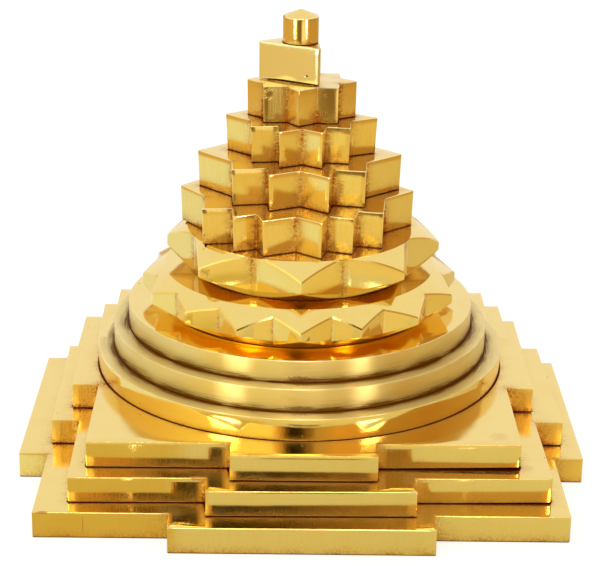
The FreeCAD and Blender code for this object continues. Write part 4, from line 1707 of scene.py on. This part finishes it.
@dataclass
class PhotoCamera:
    """The camera that was fitted to the photograph: pixels, millimetres and degrees.

    The nearest and farthest distance that it sees are in metres.
    """

    focal_px: float = 1908.6
    distance: float = 532.86
    elevation: float = 20.253
    roll: float = 0.808
    yaw: float = -0.483
    aim_x: float = -0.73
    aim_z: float = 44.4
    sensor_mm: float = 36.0
    nearest: float = 0.01
    farthest: float = 20.0

    def build(self) -> bpy.types.Object:
        """Make the camera and set it as the scene's."""
        elevation, yaw, roll = (math.radians(value) for value in (self.elevation, self.yaw, self.roll))
        back = Vector(
            (math.sin(yaw) * math.cos(elevation), -math.cos(yaw) * math.cos(elevation), math.sin(elevation))
        )
        right = Vector((math.cos(yaw), math.sin(yaw), 0.0))
        up = back.cross(right)
        across = right * math.cos(roll) + up * math.sin(roll)
        upward = up * math.cos(roll) - right * math.sin(roll)
        data = bpy.data.cameras.new("photo_camera")
        data.sensor_fit = "HORIZONTAL"
        data.sensor_width = self.sensor_mm
        data.lens = self.focal_px * self.sensor_mm / PHOTO_WIDTH
        data.clip_start, data.clip_end = self.nearest, self.farthest
        camera = placed("photo_camera", data)
        place = (Vector((self.aim_x, 0.0, self.aim_z)) + back * self.distance) * MM
        rotation = Matrix((across, upward, back)).transposed()
        camera.matrix_world = Matrix.Translation(place) @ rotation.to_4x4()
        bpy.context.scene.camera = camera
        return camera


def spread(stops: tuple) -> tuple:
    """Rescale the positions of colour stops so that they run from 0 to 1."""
    first, last = stops[0][0], stops[-1][0]
    return tuple(((position - first) / (last - first), colour) for position, colour in stops)


@dataclass
class Studio:
    """A pale floor with painted light and shade for reflections, a glowing tan screen behind the camera,
    glowing cards and a soft box, in metres and degrees.
    """

    floor_level: float = -0.00002
    floor_reach: float = 0.0001
    floor_covered: float = 0.05
    floor_half: float = 4.0
    floor_seen: float = 0.45
    floor_glow: float = 0.62
    floor_roughness: float = 0.9
    floor_pale: Triple = (0.82, 0.72, 0.44)
    screen_radius: float = 1.6
    screen_low: float = 0.1
    screen_high: float = 1.3
    screen_azimuth: float = 125.0
    screen_glow: float = 1.0
    card_distance: float = 0.3
    card_levels: tuple[float, float] = (0.05, 0.13)
    card_glow: float = 9.0
    small_glow: float = 4.0
    dark_distance: float = 0.54
    dark_width: float = 0.156
    dark_levels: tuple[float, float] = (0.1, 0.45)
    near_half: float = 0.09
    tripod_shadow_azimuth: float = -3.0
    tripod_shadow_colour: Triple = (0.16, 0.1, 0.05)
    slit_x: float = 0.0035
    slit_colour: Triple = (0.03, 0.014, 0.005)
    top_size: float = 0.4
    top_distance: float = 1.2
    top_elevation: float = 52.0
    top_power: float = 3.0

    SCREEN_STOPS = (
        (-125, (0.9, 0.75, 0.5)),
        (-75, (1.1, 1.0, 0.65)),
        (-40, (1.4, 1.45, 0.95)),
        (-13, (1.4, 1.4, 1.0)),
        (-11, (0.8, 0.48, 0.17)),
        (-4, (0.8, 0.48, 0.16)),
        (4, (0.64, 0.5, 0.34)),
        (14, (0.66, 0.52, 0.34)),
        (20, (0.9, 0.6, 0.27)),
        (34, (0.9, 0.58, 0.25)),
        (45, (0.6, 0.42, 0.2)),
        (80, (0.57, 0.36, 0.16)),
        (125, (0.7, 0.55, 0.35)),
    )
    NEAR_STOPS = (
        (-0.09, (0.64, 0.54, 0.2)),
        (-0.036, (0.62, 0.52, 0.22)),
        (-0.03, (0.68, 0.68, 0.55)),
        (0.03, (0.66, 0.66, 0.52)),
        (0.036, (0.7, 0.7, 0.54)),
        (0.09, (0.72, 0.72, 0.56)),
    )
    FLOOR_STOPS = (
        (-180, (0.78, 0.85, 0.85)),
        (-58, (0.84, 0.93, 0.95)),
        (-50, (0.78, 0.66, 0.32)),
        (-36, (0.86, 0.84, 0.52)),
        (-16, (0.86, 0.84, 0.52)),
        (-6, (0.74, 0.6, 0.28)),
        (55, (0.72, 0.58, 0.26)),
        (62, (0.8, 0.7, 0.36)),
        (90, (0.7, 0.6, 0.35)),
        (180, (0.74, 0.74, 0.62)),
    )
    FAR_STOPS = (
        (-180, (0.68, 0.47, 0.2)),
        (-26, (0.68, 0.47, 0.2)),
        (-18, (0.2, 0.12, 0.05)),
        (2, (0.2, 0.12, 0.05)),
        (9, (1.0, 0.95, 0.8)),
        (26, (1.0, 0.95, 0.8)),
        (34, (0.6, 0.4, 0.15)),
        (180, (0.6, 0.4, 0.15)),
    )
    DARK_STOPS = (
        (-0.078, (0.012, 0.005, 0.003)),
        (-0.01, (0.014, 0.006, 0.003)),
        (0.01, (0.03, 0.014, 0.006)),
        (0.02, (0.22, 0.13, 0.06)),
        (0.05, (0.3, 0.19, 0.09)),
        (0.078, (0.4, 0.27, 0.14)),
    )
    # Where each zone of the floor's painted light and shade starts and is full, in metres or, for the
    # tripod's shadow strip, in radians.
    MIDDLE_REACH = (0.215, 0.19)
    MIDDLE_START = (-0.06, -0.12)
    FRONT_START = (-0.058, -0.062)
    FRONT_END = (-0.14, -0.12)
    FRONT_SIDE = (0.1, 0.09)
    TRIPOD_SHADOW_SIDE = (0.17, 0.13)
    TRIPOD_SHADOW_REACH = (0.25, 0.29)
    FAR_REACH = (0.317, 0.323)
    SLIT_START = (-0.116, -0.12)
    SLIT_END = (-0.1285, -0.1255)
    SLIT_SIDE = (0.0155, 0.0135)
    PALE_CARDS = (
        ("left", -38.0, 0.066),
        ("right", 36.5, 0.05),
    )
    SMALL_CARDS = (
        ("left", ((-44.8, -83, 6.4), (-43.2, -66.5, 17.3), (-45.8, -92.7, 9.2), (-46.5, -100.5, 0.3))),
        ("right", ((43.7, -70.9, 16.3), (47.7, -107.8, 3.9), (47.4, -105, 0.3), (46.5, -96.4, 1.6))),
    )

    def build(self) -> None:
        """Make the floor, the screen, the cards, the lamp and the world."""
        self.make_floor()
        self.make_screen()
        self.make_cards()
        self.make_lamp()
        self.make_world()
        bpy.context.scene.view_settings.view_transform = "Standard"

    def make_floor(self) -> None:
        """Make the pale floor, which is clear from below and where the object covers it."""
        half, low = self.floor_half, self.floor_level
        mesh = bpy.data.meshes.new("floor")
        corners = [(-half, -half, low), (half, -half, low), (half, half, low), (-half, half, low)]
        mesh.from_pydata(corners, [], [(0, 1, 2, 3)])
        floor = placed("floor", mesh)
        material, graph, shader = new_material("pale_table")
        path = graph.node("ShaderNodeLightPath")
        seen = path.outputs["Is Camera Ray"]
        close = graph.math("LESS_THAN", path.outputs["Ray Length"], self.floor_reach)
        below = graph.node("ShaderNodeNewGeometry").outputs["Backfacing"]
        x, y, _ = graph.split(graph.place())
        wide = graph.larger(graph.math("ABSOLUTE", x), graph.math("ABSOLUTE", y))
        covered = graph.math("LESS_THAN", wide, self.floor_covered)
        clear = graph.larger(graph.larger(below, close), covered)
        graph.feed(shader.inputs["Alpha"], graph.minus(1.0, clear))
        mirrored = self.mirrored_floor(graph, x, y)
        graph.feed(shader.inputs["Base Color"], graph.blend(seen, mirrored, (*(self.floor_seen,) * 3, 1)))
        graph.feed(shader.inputs["Emission Strength"], graph.product(seen, self.floor_glow))
        set_constants(shader, {
            "Roughness": self.floor_roughness, "Specular IOR Level": 0.0, "Emission Color": (1, 1, 1, 1),
        })
        mesh.materials.append(material)

    def mirrored_floor(self, graph: Graph, x: Socket, y: Socket) -> Socket:
        """Colour the floor zone by zone for what the brass reflects of it: painted light and shade, with warm
        bounce and soft shade near the object, a dark strip ahead as the tripod's shadow, a narrow painted
        dark slit in front and dark and bright zones further out.

        Args:
            graph: The floor material's graph.
            x: The place to the right, in metres.
            y: The place to the back, in metres.

        Returns:
            The colour that reflections see.
        """
        azimuth = graph.math("ARCTAN2", x, graph.product(y, -1.0))
        round_share = graph.linear(azimuth, -math.pi, math.pi)
        reach = graph.length(graph.join(x, y))
        colour = graph.colour_ramp(round_share, spread(self.FLOOR_STOPS))
        middle = graph.product(graph.ramp(reach, *self.MIDDLE_REACH), graph.ramp(y, *self.MIDDLE_START))
        colour = graph.blend(middle, colour, (*self.floor_pale, 1))
        level = graph.product(graph.ramp(y, *self.FRONT_END), graph.ramp(y, *self.FRONT_START))
        front = graph.product(graph.ramp(graph.math("ABSOLUTE", x), *self.FRONT_SIDE), level)
        near_share = graph.linear(x, -self.near_half, self.near_half)
        colour = graph.blend(front, colour, graph.colour_ramp(near_share, spread(self.NEAR_STOPS)))
        # A dark strip ahead paints the tripod's shadow.
        ahead = graph.math("ABSOLUTE", graph.minus(azimuth, math.radians(self.tripod_shadow_azimuth)))
        strip = graph.product(graph.ramp(ahead, *self.TRIPOD_SHADOW_SIDE), graph.ramp(reach, *self.TRIPOD_SHADOW_REACH))
        colour = graph.blend(strip, colour, (*self.tripod_shadow_colour, 1))
        far = graph.colour_ramp(round_share, spread(self.FAR_STOPS))
        colour = graph.blend(graph.ramp(reach, *self.FAR_REACH), colour, far)
        # A narrow painted dark slit in front.
        level = graph.product(graph.ramp(y, *self.SLIT_START), graph.ramp(y, *self.SLIT_END))
        aside = graph.math("ABSOLUTE", graph.minus(x, self.slit_x))
        slit = graph.product(graph.ramp(aside, *self.SLIT_SIDE), level)
        return graph.blend(slit, colour, (*self.slit_colour, 1))

    def make_screen(self) -> None:
        """Make the glowing tan screen behind the camera, which only reflections see; its glow paints the
        light and shade around the object that the brass mirrors.
        """
        steps = 48
        points, faces = [], []
        for step in range(steps + 1):
            angle = math.radians(self.screen_azimuth) * (2 * step / steps - 1)
            x, y = self.screen_radius * math.sin(angle), -self.screen_radius * math.cos(angle)
            points += [(x, y, self.screen_low), (x, y, self.screen_high)]
        for step in range(steps):
            base = 2 * step
            faces.append((base, base + 1, base + 3, base + 2))
        mesh = bpy.data.meshes.new("tan_screen")
        mesh.from_pydata(points, [], faces)
        screen = placed("tan_screen", mesh)
        screen.visible_camera = False
        screen.visible_shadow = False
        mesh.materials.append(self.screen_material())

    def screen_material(self) -> bpy.types.Material:
        """Make the screen's glow as painted light: pale to the left with bright patches like soft boxes, tan
        to the right and dark behind the camera.
        """
        material, graph, shader = self.glowing("glowing_tan_screen", self.screen_glow)
        x, y, _ = graph.split(graph.place())
        azimuth = graph.math("ARCTAN2", x, graph.product(y, -1.0))
        limit = math.radians(self.screen_azimuth)
        share = graph.linear(azimuth, -limit, limit)
        graph.feed(shader.inputs["Emission Color"], graph.colour_ramp(share, spread(self.SCREEN_STOPS)))
        return material

    @staticmethod
    def upright(azimuth: float, distance: float, width: float, levels: tuple) -> list[Vector]:
        """Find the corners of an upright card that faces the object.

        Args:
            azimuth: Its direction from the front, in degrees.
            distance: Its distance from the object's axis.
            width: Its width.
            levels: The heights of its lower and upper edge.

        Returns:
            The four corners.
        """
        side = math.radians(azimuth)
        middle = Vector((math.sin(side), -math.cos(side), 0)) * distance
        across = Vector((math.cos(side), math.sin(side), 0)) * width / 2
        low, high = (Vector((0, 0, level)) for level in levels)
        left, right = middle - across, middle + across
        return [left + low, right + low, right + high, left + high]

    @staticmethod
    def make_card(name: str, corners: list[Vector], material: bpy.types.Material) -> None:
        """Make a flat card that neither the camera nor the diffuse light sees."""
        mesh = bpy.data.meshes.new(name)
        mesh.from_pydata(corners, [], [tuple(range(len(corners)))])
        mesh.materials.append(material)
        card = placed(name, mesh)
        card.visible_camera = False
        card.visible_shadow = False
        card.visible_diffuse = False

    @staticmethod
    def glowing(name: str, strength: float) -> tuple[bpy.types.Material, Graph, bpy.types.Node]:
        """Start a material that glows in reflections and is black otherwise."""
        material, graph, shader = new_material(name)
        set_constants(shader, {
            "Base Color": (0, 0, 0, 1),
            "Roughness": 1.0,
            "Specular IOR Level": 0.0,
            "Emission Color": (1, 0.98, 0.94, 1),
            "Emission Strength": strength,
        })
        return material, graph, shader

    def make_cards(self) -> None:
        """Make the glowing pale cards beside the camera, the small glowing ones on the floor and the dark one
        ahead; the brass mirrors their glow as highlights.
        """
        pale, _, _ = self.glowing("pale_card", self.card_glow)
        for side, azimuth, width in self.PALE_CARDS:
            corners = self.upright(azimuth, self.card_distance, width, self.card_levels)
            self.make_card(f"pale_card_{side}", corners, pale)
        paler, _, _ = self.glowing("pale_small_card", self.small_glow)
        for side, corners in self.SMALL_CARDS:
            self.make_card(f"small_card_{side}", [Vector(corner) * MM for corner in corners], paler)
        dark, graph, shader = self.glowing("dark_card", 1.0)
        half = self.dark_width / 2
        share = graph.linear(graph.split(graph.place())[0], -half, half)
        graph.feed(shader.inputs["Emission Color"], graph.colour_ramp(share, spread(self.DARK_STOPS)))
        corners = self.upright(0.0, self.dark_distance, self.dark_width, self.dark_levels)
        self.make_card("dark_card", corners, dark)

    def make_lamp(self) -> None:
        """Make the soft box above the camera, which faces the object."""
        lamp = bpy.data.lights.new("soft_box_top", "AREA")
        lamp.shape = "RECTANGLE"
        lamp.size = lamp.size_y = self.top_size
        lamp.energy = self.top_power
        light = placed("soft_box_top", lamp)
        rise = math.radians(self.top_elevation)
        out = Vector((0.0, -math.cos(rise), math.sin(rise)))
        light.location = out * self.top_distance
        light.rotation_euler = out.to_track_quat("Z", "Y").to_euler()

    def make_world(self) -> None:
        """Make the white surroundings."""
        world = bpy.data.worlds.new("white_studio")
        world.use_nodes = True
        background = world.node_tree.nodes["Background"]
        background.inputs["Color"].default_value = (1.0, 1.0, 1.0, 1)
        background.inputs["Strength"].default_value = 1.0
        bpy.context.scene.world = world


EFFECTS = Effects()
PETAL_TREE = PetalTree()
THREAD_TREE = ThreadTree()


def stack() -> list[Layer]:
    """List the brass layers from the lowest to the cap.

    Returns:
        The layers, each of which knows the one that stands on it.
    """
    plates = BrassFinish(
        marks=Marks.FILED, roughness=0.08, seam_reach=1.0, corner_reach=1.8, patina_and_shade=0.65, worn_highlight_width=0.2,
        worn_highlight_share=0.1, streaks=0.5, line_width=0.34, dark_spots=PLATE_STAINS,
    )
    sawn = replace(
        plates, roughness=0.3, corner_reach=2.2, patina_and_shade=0.9, streaks=1.5, streak_share=0.9,
        worn_highlight_share=0.0, lacquer=0.2, colour=(0.88, 0.6, 0.14), warm=(0.8, 0.46, 0.08),
    )
    low_band = BrassFinish(
        roughness=0.07, seam_reach=0.4, corner_reach=0.7, patina_and_shade=0.4, waves=8.0, line_width=0.14
    )
    bands = BrassFinish(
        marks=Marks.TURNED, roughness=0.3, seam_reach=0.4, corner_reach=1.3, patina_and_shade=1.4,
        vertical_blur=1.0, speckle_stretch=(0.2, 0.2, 3.0), speckle=0.7, brown=(0.2, 0.085, 0.004),
        pits=0.0, lacquer=0.3, colour=(0.88, 0.68, 0.25), warm=(0.85, 0.6, 0.14), line_width=0.34,
        dark_spots=BAND_STAIN_AND_PAINTED_REFLECTIONS,
    )
    petals = BrassFinish(
        roughness=0.09, seam_reach=0.5, corner_reach=0.35, patina_and_shade=0.5, worn_highlight_width=0.25, worn_highlight_share=0.7,
        line_width=0.14, dark_spots=PETAL_STAINS,
    )
    eight_petals = replace(petals, corner_reach=0.8, patina_and_shade=0.8)
    # The eight-petal disc's underside gets this darker copy of the brass as painted shade.
    underside = replace(
        petals, roughness=0.16, seam_reach=0.8, patina_and_shade=0.6, worn_highlight_share=0.0, lacquer=0.2,
        colour=(0.72, 0.5, 0.13), warm=(0.68, 0.42, 0.09),
    )
    # The sixteen-petal disc's underside is paler and warmer, with less residue and painted shade.
    low_underside = replace(underside, patina_and_shade=0.3, colour=(0.93, 0.7, 0.2), warm=(0.92, 0.62, 0.14))
    tiers = BrassFinish(
        marks=Marks.FILED, seam_reach=1.2, corner_reach=1.0, patina_and_shade=0.8, streaks=0.9, streak_share=0.5,
        line_width=0.28, dark_spots=TIER_STAINS,
    )
    block = BrassFinish(seam_reach=0.6, corner_reach=0.8, patina_and_shade=0.5, streaks=0.5, dark_spots=BLOCK_STAINS)
    # The block's upright faces get this paler copy as a painted highlight.
    pale = replace(block, colour=(0.93, 0.88, 0.52), warm=(0.92, 0.84, 0.4), brown=(0.1, 0.03, 0.003))
    stars = (
        ("fourteen_point_tier", Place(-1.9, -0.15, -2.3), 64.0, FOURTEEN_SHARES, 1.7),
        ("outer_ten_point_tier", Place(-1.3, -0.05, -1.7), 55.7, OUTER_TEN_SHARES, 2.0),
        ("inner_ten_point_tier", Place(-0.85, 0.25, -3.2), 41.6, INNER_TEN_SHARES, 3.4),
        ("eight_point_tier", Place(-0.9, 0.2, -2.4), 29.8, STAR_SHARES, 0.8),
    )
    layers = [
        SquarePlate(
            "lower_square_plate", Place(), plates, edge=0.1, across=152.0, square=136.4, gate=67.2,
            recess_radius=7.0,
        ),
        SquarePlate(
            "middle_square_plate", Place(1.35, 0.25, 0.8), plates, sawn, edge=0.1, across=139.0,
            square=123.8, gate=53.3, worn_radius=1.0, gap=0.35, gap_from=30.0,
        ),
        SquarePlate(
            "upper_square_plate", Place(0.25, -0.25, 0.15), plates, sawn, edge=0.1, across=126.4,
            square=111.8, gate=37.7, worn_radius=1.2, gap=0.9, gap_from=8.0,
        ),
        RingDisc("three_ring_disc", Place(-0.65, 2.0), low_band, bands),
        PetalDisc(
            "sixteen_petal_disc", Place(-1.05, -0.25, 1.1), petals, low_underside, tip=43.8, valley=39.9,
            flat=37.2, seat=36.6, tip_low=4.5, tip_high=7.25, petal_shares=SIXTEEN_PETAL_SHARES,
            length_shares=SIXTEEN_LENGTH_SHARES, kerf=0.12, softness=0.1, bulge=0.1, neck=0.7,
            foot_lean=0.7,
        ),
        PetalDisc(
            "eight_petal_disc", Place(-0.35, -0.8, -0.5), eight_petals, underside, tip=37.7, valley=31.3,
            flat=31.6, seat=30.2, tip_low=4.55, tip_high=7.25, petal_shares=EIGHT_PETAL_SHARES,
            length_shares=EIGHT_LENGTH_SHARES, kerf=0.75, softness=0.1, bulge=0.2, cuts=14, neck=0.2,
            foot_lean=0.4,
        ),
        *(
            StarTier(node, place, tiers, length=length, shares=shares, lean=lean)
            for node, place, length, shares, lean in stars
        ),
        TriangleBlock("triangle_block", Place(-2.05, 1.65, 3.2), block, pale),
        BinduCap("bindu_cap", Place(-1.45, 0.35), block),
    ]
    for lower, upper in zip(layers, layers[1:]):
        lower.upper = upper
    return layers


def dress_hardware() -> None:
    """Give the rod, the washer and the nut their steel."""
    steel = SteelFinish().material()
    TieRod().build(steel)
    for node in ("base_washer", "base_nut"):
        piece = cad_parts[node]
        piece.data.materials.clear()
        piece.data.materials.append(steel)
        log.info("%s keeps its CAD shape", node)


def main() -> None:
    """Build the pieces from the base upwards, then the studio and the camera."""
    logging.basicConfig(level=logging.INFO, format="%(name)s: %(message)s")
    PhotoCamera().build()
    for layer in stack():
        layer.build()
    dress_hardware()
    Studio().build()
    bpy.context.scene.cycles.max_bounces = MAX_BOUNCES
    bpy.context.scene.cycles.glossy_bounces = GLOSSY_BOUNCES


if __name__ == "__main__":
    main()
